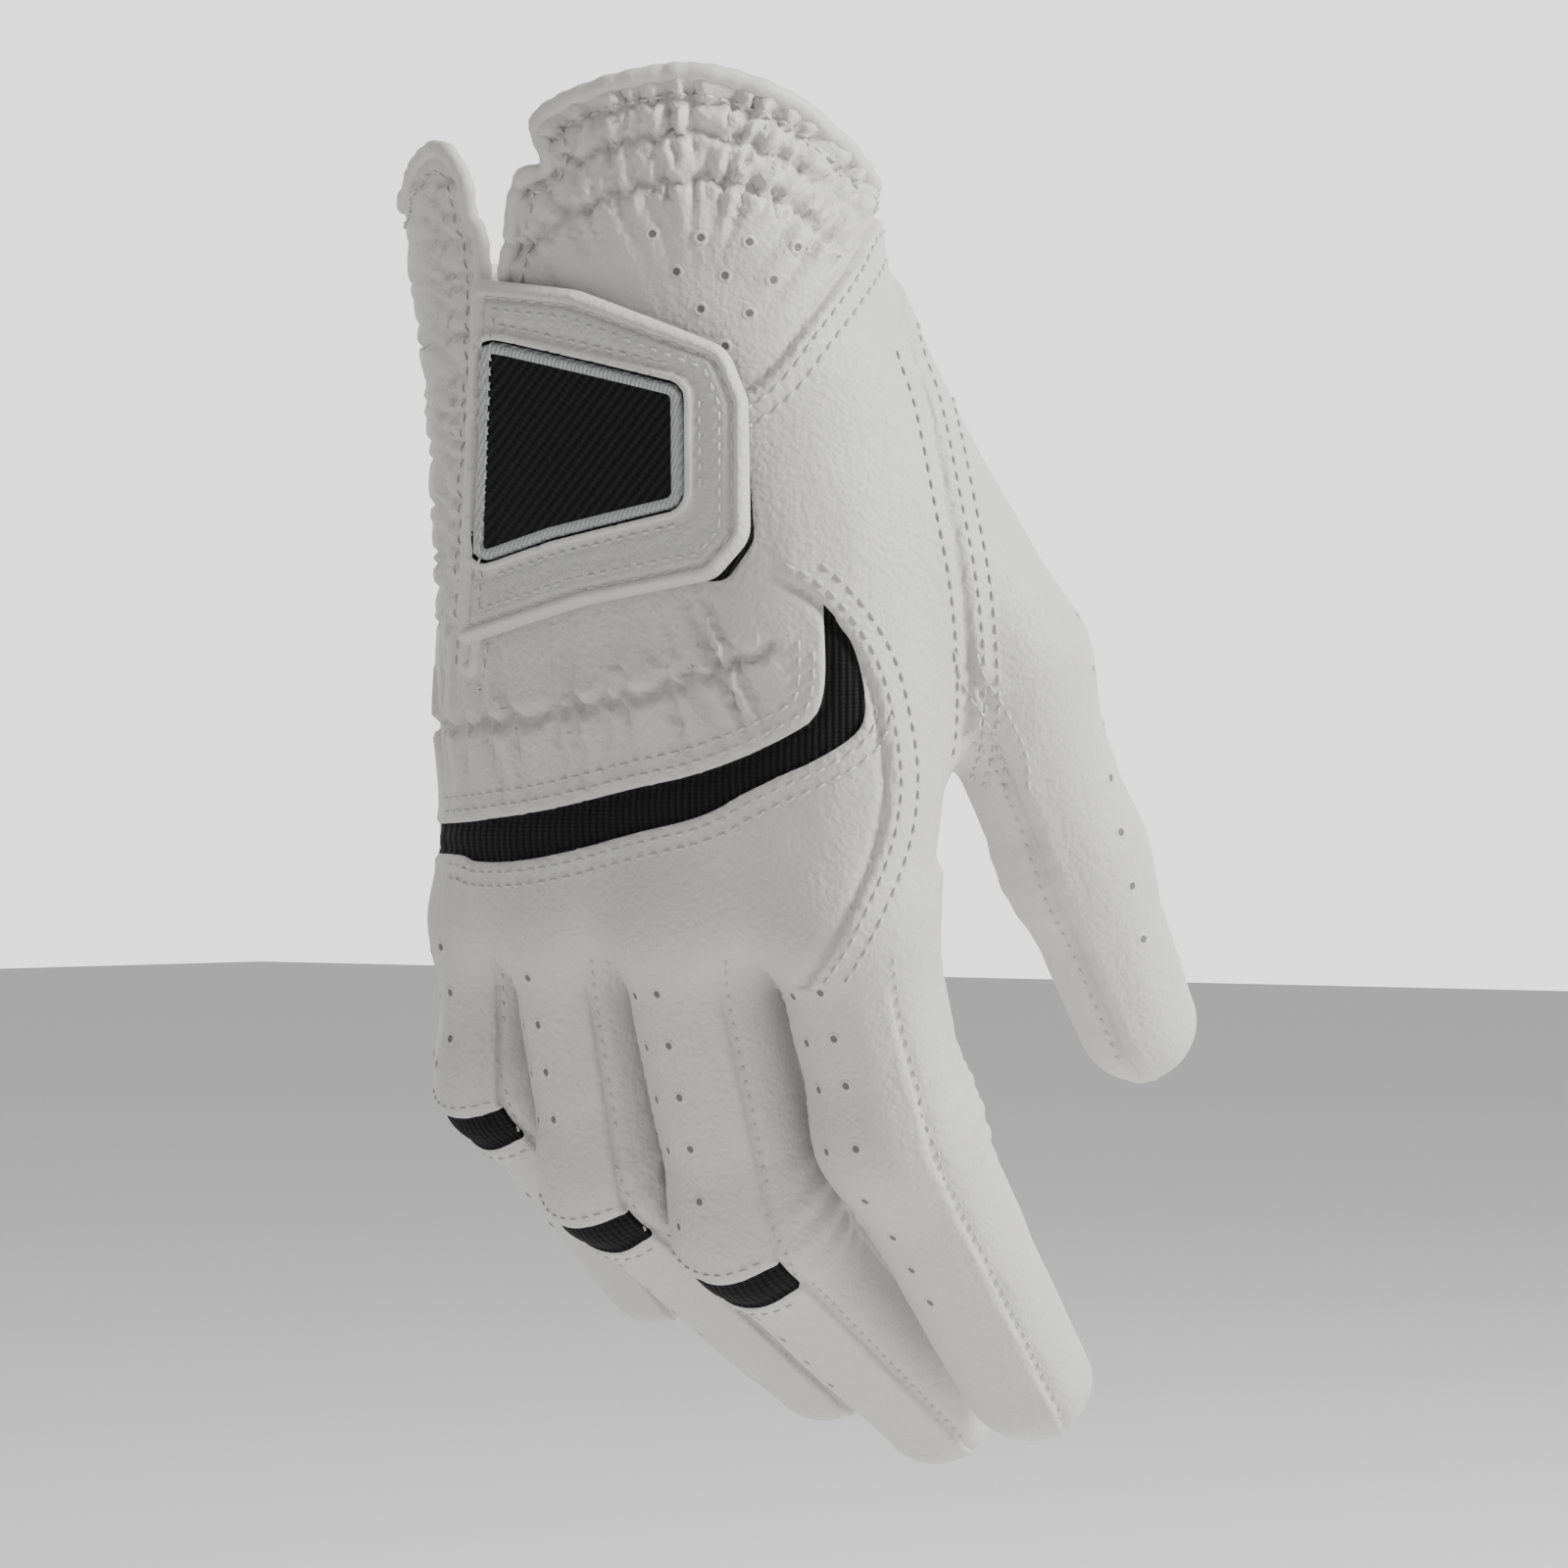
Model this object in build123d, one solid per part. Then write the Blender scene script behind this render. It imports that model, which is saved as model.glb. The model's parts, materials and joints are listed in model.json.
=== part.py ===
from build123d import *
import math
import os

# Golf glove, shaped as it sits on a relaxed right hand with the fingers hanging down.
# Frame: +Z towards the wrist, +X towards the thumb, +Y towards the palm, origin at the middle of
# the wrist opening. Millimetres. Each leather panel is a thin shell of its own.

# ---- driving dimensions ------------------------------------------------------------------------
LEATHER = 0.8            # panel thickness
BAND = 0.8               # thickness of an elastic band sewn inside a panel
FIT_GAP = 0.4            # running gap between shells that move past each other
DRAFT_TURN = 40.0        # the pattern plane is turned this far from the back towards the thumb
HAND_END = -92.0         # where the hand shell stops and the finger stalls begin
SECTION_POWER = 2.2      # squareness of the hand's cross-section
SECTION_POINTS = 20
BINDING_WIDTH = 3.2
REACH = 90.0             # longer than any wall is from the axis, for cutting tools

# The hand's outer cross-sections: height, centre x, centre y, half width, half thickness.
HAND_SECTIONS = [
    (24.0, -4.0, 0.0, 36.5, 26.0),
    (-5.0, -2.5, 0.0, 34.5, 24.5),
    (-20.0, 1.0, 1.5, 37.0, 24.5),
    (-42.0, 4.0, 2.2, 40.0, 23.0),
    (-70.0, 5.0, 2.5, 42.0, 19.5),
    (-85.0, 4.0, 2.0, 41.5, 17.0),
    (-99.0, 3.5, 1.0, 41.0, 15.5),
]

# Each stall: knuckle (root pivot), middle joint (bend pivot), centre of the tip, and the outer
# radius at each. bend_max is how far the middle joint flexes past rest.
STALLS = {
    "index": {
        "root": (33.0, 2.5, -98.0), "joint": (33.0, 12.5, -124.0), "tip": (32.0, 42.0, -160.0),
        "radii": (10.3, 9.6, 8.0),
    },
    "middle": {
        "root": (11.5, -4.0, -98.0), "joint": (11.0, 9.0, -137.0), "tip": (10.5, 48.5, -165.0),
        "radii": (10.3, 9.8, 8.2),
    },
    "ring": {
        "root": (-9.8, -3.5, -98.0), "joint": (-10.0, 4.5, -131.0), "tip": (-7.6, 45.5, -160.5),
        "radii": (9.9, 9.3, 7.7),
    },
    "little": {
        "root": (-29.0, 1.5, -98.0), "joint": (-29.2, 2.5, -119.0), "tip": (-27.2, 31.5, -147.5),
        "radii": (8.6, 8.2, 6.9),
    },
    "thumb": {
        "root": (43.0, 22.0, -62.0), "joint": (45.0, 35.3, -88.0), "tip": (46.5, 48.0, -110.5),
        "radii": (11.4, 9.6, 8.0),
    },
}
FLEX_STRIPS = ("middle", "ring", "little")   # stalls with a stretch strip over the middle joint
MOST_BEND = 86.0         # total flexion at a middle joint
STRIP_WIDTH = 5.5        # stretch strip, along the finger
STRIP_PAST = 1.5         # how far a base wall runs past its middle joint on the back
COLLAR_DEGREES = 35.0    # how far a stall's round collar reaches back past its pivot
FINGER_BACK = Vector(0, -1, 0)
THUMB_BACK = Vector(0.83, 0.5, 0.17)

THENAR_START = (17.5, 0.5, -9.0)             # the ball of the thumb, a tapered tube to the thumb
THENAR_RADII = (13.5, 12.4)

# Heights of the layers that lie on the back of the hand, outwards from its surface.
LOOP = (0.0, 1.0)
HOOK = (1.3, 2.0)
LINING = (2.0, 2.6)
PAD = (2.6, 3.5)
COVER = (3.5, 4.3)
INLAY = (3.5, 4.1)
INLAY_BORDER = (4.1, 4.6)
PIPING = (2.6, 4.8)

# ---- outlines on the pattern plane: across towards the thumb, up towards the wrist --------------
TAB = [
    (-23.3, -10.5), (-8.0, -13.0), (10.0, -20.0), (13.6, -27.0), (13.8, -45.0),
    (10.0, -50.0), (-10.0, -54.0), (-26.4, -59.5), (-24.9, -35.0),
]
TAB_ROUNDED = [0, 3, 5, 5, 5, 4, 0, 0, 0]
TAB_EDGE = 3.2           # width of the rolled piping round the tab
INLAY_PANEL = [(-19.8, -21.2), (3.2, -26.6), (3.2, -40.6), (-21.0, -46.4)]
INLAY_FRAME = 1.4        # width of the satin-stitched border round the inlay
HOOK_PANEL = [(-6.0, -24.0), (9.5, -27.0), (10.0, -45.0), (-6.0, -48.5)]
LOOP_PANEL = [(-9.0, -20.0), (14.6, -23.0), (14.9, -47.5), (-9.0, -52.5)]

CUFF_TOP = [(-14.5, 9.0), (-9.5, 13.8), (4.7, 16.1), (20.0, 12.0), (27.0, 7.0), (33.0, 0.0)]
SLIT = [
    (-15.5, 24.0), (-15.8, 6.0), (-18.6, -9.0), (-21.0, -30.0), (-24.6, -62.5), (-26.6, -62.5),
    (-24.4, -30.0), (-22.8, -9.0), (-23.4, -2.0), (-25.4, 4.0), (-28.7, 7.6), (-31.5, 6.5),
    (-35.5, 0.5), (-44.0, 0.5), (-44.0, 24.0),
]
DIAGONAL = [(38.0, 2.0), (29.8, -3.0), (23.3, -14.0), (14.0, -26.0), (-3.0, -34.0), (-22.0, -38.0)]
SEAM_BELOW_TAB = [
    (-26.0, -46.0), (-5.0, -47.0), (10.0, -48.7), (24.7, -54.3), (30.9, -64.7), (32.0, -74.0),
    (31.0, -86.0), (26.0, -97.0), (22.0, -104.0),
]
FLEX_UPPER = [
    (-44.0, -83.6), (-24.7, -83.3), (-8.7, -80.7), (7.3, -76.0), (21.3, -69.3), (23.3, -62.0),
    (24.7, -55.7),
]
FLEX_LOWER = [
    (28.6, -66.0), (25.3, -73.3), (12.7, -79.0), (3.3, -83.6), (-14.0, -87.7), (-44.0, -88.4),
]
SIDE_PANEL_FOOT = -62.5  # the side cuff panel's lower edge

# The palm edge of the cuff: where it passes the pattern plane's left and right.
PALM_CUFF = (-10.0, 1.5)


# ---- helpers -----------------------------------------------------------------------------------
turn = math.radians(DRAFT_TURN)
across = Vector(math.cos(turn), math.sin(turn), 0)
outward = Vector(math.sin(turn), -math.cos(turn), 0)
PATTERN_PLANE = Plane(origin=(0, 0, 0), x_dir=across, z_dir=outward)


def superellipse(height, cx, cy, half_width, half_depth, grow):
    """One closed cross-section of the hand, grown outwards by grow."""
    points = []
    for i in range(SECTION_POINTS):
        angle = 2 * math.pi * i / SECTION_POINTS
        c, s = math.cos(angle), math.sin(angle)
        px = cx + (half_width + grow) * math.copysign(abs(c) ** (2 / SECTION_POWER), c)
        py = cy + (half_depth + grow) * math.copysign(abs(s) ** (2 / SECTION_POWER), s)
        points.append((px, py, height))
    return Face(Wire([Spline(*points, periodic=True)]))


def hand_solid(grow):
    """The closed hand form, its surface moved outwards by grow."""
    return loft([superellipse(*section, grow) for section in HAND_SECTIONS])


forms = {}


def layer(low, high):
    """The shell between two distances from the hand's outer surface."""
    for grow in (low, high):
        if grow not in forms:
            forms[grow] = hand_solid(grow)
    return forms[high] - forms[low]


def flat_face(outline):
    """A flat face on the XY plane with straight edges."""
    return make_face(Polyline(*outline, close=True))


def prism(outline):
    """An outline on the pattern plane, pushed right through the hand."""
    return extrude(PATTERN_PLANE * flat_face(outline), REACH, dir=outward, both=True)


def rounded_face(outline, radii):
    """A flat face with each corner of the outline rounded to its own radius."""
    face = flat_face(outline)
    for corner, radius in zip(outline, radii):
        if radius:
            nearest = face.vertices().sort_by_distance(Vector(*corner))[0]
            face = fillet(nearest, radius)
    return face


def plate(face, heights):
    """A curved plate that lies on the back of the hand, cut to a flat pattern face."""
    return layer(*heights) & extrude(PATTERN_PLANE * face, REACH, dir=outward, both=True) & BACK_HALF


# The back half of the glove: its far edge runs up the little-finger side and round past the
# thumb side, where the palm panel's side seams are.
BACK_CORNERS = [(-REACH, -16.0), (0.0, 2.0), (REACH, 62.0), (REACH, -REACH), (-REACH, -REACH)]
BACK_HALF = Pos(0, 0, -REACH * 1.5) * extrude(flat_face(BACK_CORNERS), REACH * 3, dir=(0, 0, 1))


def slab(low, high, far=REACH * 2):
    """Everything between two heights."""
    return Pos(0, 0, (low + high) / 2) * Box(far, far, high - low)


def keep(shape, count=1):
    """The largest solids of a boolean result, which drops any crumbs."""
    solids = sorted(shape.solids(), key=lambda s: -s.volume)
    return solids[0] if count == 1 else Compound(children=solids[:count])


nodes = {}


def save(name, shape):
    """Writes a node's solids."""
    nodes[name] = shape
    export_step(shape, f"parts/{name}.step")


# ---- stalls: fingers and thumb -----------------------------------------------------------------
def frame_along(start, end, back):
    """A plane at start whose Z runs to end and whose X points to the back of the finger."""
    axis = (Vector(*end) - Vector(*start)).normalized()
    facing = (back - axis * back.dot(axis)).normalized()
    return Plane(origin=start, x_dir=facing, z_dir=axis)


def wall_profile(collar, start_radius, end_radius, length, domed, wall=LEATHER):
    """A stall's wall seen along its axis: a round collar behind the pivot, then the wall, then a
    closed dome if it is a tip. X is the distance from the axis and Z runs along it."""
    back = math.radians(COLLAR_DEGREES)
    inner = collar - wall
    outer_start = (collar * math.cos(back), 0, -collar * math.sin(back))
    inner_start = (inner * math.cos(back), 0, -inner * math.sin(back))
    mid = back / 2
    edges = [
        ThreePointArc(outer_start, (collar * math.cos(mid), 0, -collar * math.sin(mid)),
                      (collar, 0, 0)),
        Line((collar, 0, 0), (start_radius, 0, 1.5)) if start_radius != collar else None,
        Line((start_radius, 0, 1.5 if start_radius != collar else 0), (end_radius, 0, length)),
    ]
    half = math.sqrt(0.5)
    if domed:
        inner_end = end_radius - wall
        edges += [
            ThreePointArc((end_radius, 0, length),
                          (end_radius * half, 0, length + end_radius * half),
                          (0, 0, length + end_radius)),
            Line((0, 0, length + end_radius), (0, 0, length + inner_end)),
            ThreePointArc((0, 0, length + inner_end),
                          (inner_end * half, 0, length + inner_end * half),
                          (inner_end, 0, length)),
        ]
    else:
        edges.append(Line((end_radius, 0, length), (end_radius - wall, 0, length)))
    start_inner = start_radius - wall
    edges += [
        Line((end_radius - wall, 0, length), (start_inner, 0, 1.5 if start_radius != collar else 0)),
        Line((start_inner, 0, 1.5), (inner, 0, 0)) if start_radius != collar else None,
        ThreePointArc((inner, 0, 0), (inner * math.cos(mid), 0, -inner * math.sin(mid)),
                      inner_start),
        Line(inner_start, outer_start),
    ]
    return Face(Wire([e for e in edges if e is not None]))


def sector(profile, centre_degrees):
    """A quarter of the stall's wall, centred on one direction: 0 is the back, 180 the palm."""
    return Rot(0, 0, centre_degrees - 45) * revolve(profile, Axis.Z, 90)


def save_quarters(prefix, profile, place, cut=None):
    """Saves a stall's back, palm and two side walls, each cut by the same tool."""
    quarters = {name: sector(profile, degrees) for name, degrees in
                (("back", 0), ("left", 90), ("palm", 180), ("right", 270))}
    if cut is not None:
        quarters = {name: keep(wall - cut) for name, wall in quarters.items()}
    sides = Compound(children=[place * quarters["left"], place * quarters["right"]])
    save(f"{prefix}_palm", place * quarters["palm"])
    save(f"{prefix}_sides", sides)
    return quarters["back"]


def palm_relief(inner_radius, collar, bend, length):
    """The tool that cuts a base wall's end on a slant, so that the next collar can flex."""
    angle = math.radians(bend)
    back_off = (collar + FIT_GAP - inner_radius * math.cos(angle)) / math.sin(angle)
    low, high = length - back_off, length + STRIP_PAST
    tilt = math.degrees(math.atan2(high - low, 2 * inner_radius))
    middle = (low + high) / 2
    return Pos(0, 0, middle) * Rot(0, -tilt, 0) * Pos(0, 0, REACH / 2) * Box(REACH, REACH, REACH)


def build_stall(name, spec, back):
    """One finger: a base that pivots at the knuckle and a tip that pivots at the middle joint."""
    root_radius, joint_radius, tip_radius = spec["radii"]
    base = frame_along(spec["root"], spec["joint"], back)
    tip = frame_along(spec["joint"], spec["tip"], back)
    base_length = (Vector(*spec["joint"]) - Vector(*spec["root"])).length
    tip_length = (Vector(*spec["tip"]) - Vector(*spec["joint"])).length
    collar = joint_radius - LEATHER - FIT_GAP
    profile = wall_profile(root_radius, root_radius, joint_radius, base_length + STRIP_PAST, False)
    relief = palm_relief(joint_radius - LEATHER, collar, MOST_BEND, base_length)
    base_back = save_quarters(name, profile, base, relief)
    if name in FLEX_STRIPS:
        split = base_length + STRIP_PAST - STRIP_WIDTH
        beyond = Pos(0, 0, split + REACH / 2) * Box(REACH, REACH, REACH)
        save(f"{name}_flex_strip", base * keep(base_back & beyond))
        base_back = keep(base_back - beyond)
    save(f"{name}_back", base * base_back)
    tip_profile = wall_profile(collar, collar, tip_radius, tip_length, True)
    save(f"{name}_tip_back", tip * save_quarters(f"{name}_tip", tip_profile, tip))


def tube_between(start, end, radii, past):
    """A solid tapered rod along the ball of the thumb, running a little past its end."""
    axis = (Vector(*end) - Vector(*start)).normalized()
    length = (Vector(*end) - Vector(*start)).length + past
    place = Plane(origin=start, z_dir=axis)
    cone = place * Pos(0, 0, length / 2) * Cone(radii[0], radii[1], length)
    return cone + place * Sphere(radii[0])


def build_thenar(hand_outside):
    """The ball of the thumb: the tube between the hand shell and the thumb stall. Returns its
    outer form, which the hand shell makes room for."""
    spec = STALLS["thumb"]
    past = 1.0
    outer = tube_between(THENAR_START, spec["root"], THENAR_RADII, past)
    inner_radii = [radius - LEATHER for radius in THENAR_RADII]
    inner = tube_between(THENAR_START, spec["root"], inner_radii, past + 1)
    axis = (Vector(*spec["root"]) - Vector(*THENAR_START)).normalized()
    flex_side = (Vector(0, 0, 0) - THUMB_BACK).normalized()
    slant = math.radians(20)
    normal = (axis * math.cos(slant) + flex_side * math.sin(slant)).normalized()
    pivot = Vector(*spec["root"])
    beyond = Plane(origin=pivot - axis * 3.0, z_dir=normal) * Pos(0, 0, REACH / 2) * Box(
        REACH, REACH, REACH)
    shell = keep(outer - inner - hand_outside - beyond)
    inward = Vector(-1, -0.35, -0.25).normalized()
    gusset_tool = Plane(origin=pivot + inward * 4 + Vector(0, 0, 12), z_dir=inward) * Pos(
        0, 0, REACH / 2) * Box(REACH, REACH, REACH)
    save("thumb_gusset", keep(shell & gusset_tool))
    save("thumb_root_panel", keep(shell - gusset_tool))
    return outer


def thumb_room():
    """The space the thumb stall swings in, which the hand shell keeps clear of."""
    spec = STALLS["thumb"]
    root, joint = Vector(*spec["root"]), Vector(*spec["joint"])
    radius = spec["radii"][0] + 1.6
    place = Plane(origin=root, z_dir=(joint - root).normalized())
    length = (joint - root).length
    return Pos(*spec["root"]) * Sphere(radius) + place * Pos(0, 0, length / 2) * Cylinder(
        radius, length)


# ---- hand shell --------------------------------------------------------------------------------
def build_hand():
    """The panels of the hand shell, the parts sewn to them and the loop patch."""
    shell = layer(-LEATHER, 0.0) & slab(HAND_END, 40)
    bound = layer(-LEATHER - 0.7, 0.7)
    bands = layer(-LEATHER - BAND, -LEATHER)
    outside = forms[0.0]
    thenar = build_thenar(outside)

    gap = prism(SLIT)
    above_cuff = prism([(-16.5, 30.0), (-16.5, 6.0)] + CUFF_TOP + [(60.0, 0.0), (60.0, 30.0)])
    palm_left, palm_right = PALM_CUFF
    palm_top = prism([(-60, palm_left), (60, palm_right), (60, 40), (-60, 40)])
    open_top = (gap + above_cuff) & BACK_HALF
    open_palm = palm_top - BACK_HALF
    shell = shell - open_top - open_palm

    # Binding: the strip next to each free edge, thicker than the panel it is folded round.
    drop = Pos(0, 0, -BINDING_WIDTH)
    above_body = ((drop * above_cuff) & BACK_HALF) + ((drop * palm_top) - BACK_HALF)
    binding_zone = above_body - open_top - open_palm
    side_zone = above_body & prism([(-60, 40), (-20.5, 40), (-20.5, -70), (-60, -70)])
    cuff_binding = bound & (binding_zone - side_zone) & slab(-30, 40)
    slit_edge = [(-15.8, 5.5), (-18.6, -9.0), (-21.0, -30.0), (-23.8, -56.0)]
    shifted = [(x + 2.2, z) for x, z in slit_edge]
    slit_zone = prism(slit_edge + shifted[::-1]) & BACK_HALF
    save("cuff_binding", keep(cuff_binding - slit_zone, 2))
    save("slit_binding", keep((bound & slit_zone) - (binding_zone - side_zone)))
    body = shell - (binding_zone - side_zone) - slit_zone - thenar - thumb_room()

    palm = keep(body - BACK_HALF)
    save("palm_panel", palm)
    back = body & BACK_HALF

    upper = prism(DIAGONAL + [(-60.0, -38.0), (-60.0, 60.0), (60.0, 60.0)])
    knuckle = prism(SEAM_BELOW_TAB + [(-60.0, -110.0), (-60.0, -46.0)])
    flex = prism(FLEX_UPPER + FLEX_LOWER)
    below_flex = prism(
        [FLEX_UPPER[-1]] + FLEX_LOWER + [(-60.0, -88.4), (-60.0, -130.0), (60.0, -130.0),
                                         (60.0, -60.0)])
    side = prism([(-22.2, 30.0), (-22.2, -9.0), (-24.2, -30.0), (-26.5, SIDE_PANEL_FOOT),
                  (-60.0, SIDE_PANEL_FOOT), (-60.0, 30.0)])
    save("cuff_side_panel", keep(back & side))
    back = back - side
    save("cuff_back_panel", keep(back & upper))
    save("knuckle_flex_insert", keep(back & knuckle & flex))
    save("finger_root_panel", keep(back & knuckle & below_flex - flex))
    save("knuckle_panel", keep((back & knuckle) - flex - below_flex))
    save("thumb_side_back_panel", keep(back - upper - knuckle))

    rows = []
    for top in (8.5, 3.0, -2.5):
        line = [(-12.0, top - 3.0), (4.7, top), (26.0, top - 8.0)]
        rows.append(keep(bands & prism(line + [(x, z - 2.4) for x, z in line[::-1]]) & BACK_HALF))
    save("cuff_elastic", Compound(children=rows))
    gather = [(-28.0, -70.0), (-5.0, -67.5), (12.0, -61.5)]
    save("knuckle_elastic", keep(
        bands & prism(gather + [(x, z - 4.0) for x, z in gather[::-1]]) & BACK_HALF))
    side_line = [(-30.5, -4.0), (-25.5, -4.0), (-26.5, -50.0), (-30.5, -50.0)]
    save("side_cuff_elastic", keep(bands & prism(side_line) & BACK_HALF))
    save("loop_patch", keep(plate(rounded_face(LOOP_PANEL, [2, 4, 4, 2]), LOOP)))


# ---- closure tab -------------------------------------------------------------------------------
def build_tab():
    """The hook-and-loop closure tab, layer by layer from the hand outwards."""
    whole = rounded_face(TAB, TAB_ROUNDED)
    inner = offset(whole, -TAB_EDGE, kind=Kind.INTERSECTION).faces()[0]
    base_strip = flat_face([(-30, -8), (-20.5, -8), (-23.5, -70), (-30, -70)])
    inner_open = (inner + (whole & base_strip)).faces()[0]
    window = rounded_face(INLAY_PANEL, [1, 3, 3, 1])
    window_inside = offset(window, -INLAY_FRAME).faces()[0]
    save("tab_hook_patch", keep(plate(rounded_face(HOOK_PANEL, [3, 3, 3, 3]), HOOK)))
    save("tab_lining", keep(plate(whole, LINING)))
    save("tab_pad", keep(plate(inner, PAD)))
    save("tab_piping", keep(plate(whole - inner_open, PIPING)))
    save("tab_cover", keep(plate(inner - window, COVER)))
    save("tab_inlay", keep(plate(window, INLAY)))
    save("tab_inlay_border", keep(plate(window - window_inside, INLAY_BORDER)))


def main():
    os.makedirs("parts", exist_ok=True)
    for name, spec in STALLS.items():
        build_stall(name, spec, THUMB_BACK if name == "thumb" else FINGER_BACK)
    build_hand()
    build_tab()


main()
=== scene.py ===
import json
import math

import bpy
import numpy as np
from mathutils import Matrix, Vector, noise
from mathutils.bvhtree import BVHTree


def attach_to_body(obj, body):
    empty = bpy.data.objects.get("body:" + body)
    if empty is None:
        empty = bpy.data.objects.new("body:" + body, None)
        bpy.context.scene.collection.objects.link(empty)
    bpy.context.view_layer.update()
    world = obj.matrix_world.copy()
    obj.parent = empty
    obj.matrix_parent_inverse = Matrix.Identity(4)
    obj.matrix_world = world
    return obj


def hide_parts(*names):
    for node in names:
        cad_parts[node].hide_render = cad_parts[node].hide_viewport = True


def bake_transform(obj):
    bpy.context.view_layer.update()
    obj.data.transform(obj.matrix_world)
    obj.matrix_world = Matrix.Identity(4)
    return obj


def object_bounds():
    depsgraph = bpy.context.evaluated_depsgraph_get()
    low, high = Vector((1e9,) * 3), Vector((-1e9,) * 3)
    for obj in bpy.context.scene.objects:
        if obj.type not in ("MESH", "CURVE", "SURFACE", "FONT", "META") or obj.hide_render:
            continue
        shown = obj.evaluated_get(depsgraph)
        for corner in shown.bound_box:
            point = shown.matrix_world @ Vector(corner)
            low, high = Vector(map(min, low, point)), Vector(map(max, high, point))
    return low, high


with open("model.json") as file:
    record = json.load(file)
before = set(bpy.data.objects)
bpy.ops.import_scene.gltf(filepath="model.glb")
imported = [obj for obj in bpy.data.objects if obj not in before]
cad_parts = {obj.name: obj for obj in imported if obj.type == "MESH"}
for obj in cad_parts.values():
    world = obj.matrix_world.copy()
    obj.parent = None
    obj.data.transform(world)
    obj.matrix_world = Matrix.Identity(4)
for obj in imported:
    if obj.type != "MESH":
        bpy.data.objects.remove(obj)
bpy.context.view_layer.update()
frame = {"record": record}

# Everything below is worked out in millimetres in the row frame, and scaled when a mesh is made.
MM = 0.001
CELL = 0.8

# ---- the pattern plane: across towards the thumb, up towards the wrist, seen from the back -------
TURN = math.radians(40)
ACROSS = np.array([math.cos(TURN), math.sin(TURN), 0.0])
OUTWARD = np.array([math.sin(TURN), -math.cos(TURN), 0.0])

HAND_SECTIONS = np.array([
    [24.0, -4.0, 0.0, 36.5, 26.0],
    [-5.0, -2.5, 0.0, 34.5, 24.5],
    [-20.0, 1.0, 1.5, 37.0, 24.5],
    [-42.0, 4.0, 2.2, 40.0, 23.0],
    [-70.0, 5.0, 2.5, 42.0, 19.5],
    [-85.0, 4.0, 2.0, 41.5, 17.0],
    [-99.0, 3.5, 1.0, 41.0, 15.5],
])
SQUARENESS = 2.2
FINGER_BACK = np.array([0.0, -1.0, 0.0])
THUMB_BACK = np.array([0.83, 0.5, 0.17])
# root, middle joint, tip, radii, the turn of the back seams round the finger
STALLS = {
    "index": ((33.0, 2.5, -98.0), (33.0, 12.5, -124.0), (32.0, 42.0, -160.0),
              (10.8, 10.3, 8.5), 8.0),
    "middle": ((11.5, -4.0, -98.0), (11.0, 9.0, -137.0), (10.5, 48.5, -165.0),
               (10.5, 10.4, 8.3), 0.0),
    "ring": ((-9.8, -3.5, -98.0), (-10.0, 4.5, -131.0), (-7.6, 45.5, -160.5),
             (10.0, 9.8, 7.9), -10.0),
    "little": ((-29.0, 1.5, -98.0), (-29.2, 2.5, -119.0), (-27.2, 31.5, -147.5),
               (8.9, 8.4, 6.9), -14.0),
    "thumb": ((43.0, 22.0, -62.0), (45.0, 35.3, -88.0), (46.5, 48.0, -110.5),
              (11.3, 9.3, 8.2), 0.0),
}
FINGERS = ["index", "middle", "ring", "little"]
STRIPPED = ["middle", "ring", "little"]
THENAR = ((17.5, 0.5, -9.0), 13.2)

# Seams and edges on the pattern plane.
DIAGONAL = [(46.0, 9.0), (36.0, 4.0), (29.8, -3.0), (26.6, -9.5), (21.5, -17.0), (14.0, -26.0),
            (0.0, -32.0), (-22.0, -38.0), (-60.0, -38.0)]
SEAM_BELOW_TAB = [(-60.0, -46.0), (-26.0, -46.0), (-5.0, -47.0), (10.0, -49.0), (18.0, -51.0),
                  (23.6, -54.8), (28.6, -62.0), (30.9, -70.0), (31.8, -78.4), (30.2, -87.2),
                  (25.4, -98.0), (20.8, -105.4), (18.0, -114.0)]
FLEX_UPPER = [(-60.0, -84.6), (-30.0, -83.5), (-21.0, -82.6), (-14.6, -81.6), (-9.2, -80.4),
              (-2.0, -78.6), (5.2, -77.0), (12.3, -74.6), (18.6, -71.6), (21.8, -69.4),
              (23.0, -66.8), (23.4, -62.8), (23.2, -56.0), (23.0, -48.0)]
FLEX_LOWER = [(-60.0, -88.9), (-30.0, -87.6), (-24.0, -88.6), (-18.0, -88.4), (-11.5, -87.2),
              (-2.0, -84.6), (5.0, -82.9), (9.0, -81.4), (12.3, -79.5), (17.0, -77.2),
              (21.9, -75.0), (26.5, -72.2), (28.5, -69.6), (28.5, -65.2), (27.1, -59.8),
              (24.6, -55.9), (23.6, -50.0)]
THUMB_SEAM = [(30.0, 10.0), (32.6, -6.0), (34.7, -19.0), (37.3, -27.3), (40.0, -40.7),
              (42.0, -51.3),
              (43.0, -62.0), (42.8, -72.0), (41.0, -79.5), (38.0, -90.0)]
GUSSET_SEAM = [(41.5, -56.0), (42.7, -63.3), (46.0, -68.7), (48.7, -74.0), (49.2, -78.0),
               (48.9, -82.0), (48.0, -92.0)]
CUFF_TOP = [(-16.5, 3.0), (-14.8, 9.0), (-13.4, 11.4), (-9.0, 13.4), (-3.0, 15.0), (4.7, 16.0),
            (12.0, 14.9), (20.0, 11.6), (26.0, 6.6), (29.4, 3.2), (34.0, 1.5), (40.0, 1.0)]
FLAP_TOP = [(-44.0, -4.0), (-36.0, -3.0), (-34.2, 1.6), (-31.8, 6.2), (-28.8, 7.9), (-26.4, 6.2),
            (-24.7, 2.6), (-22.0, -4.0)]
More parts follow.
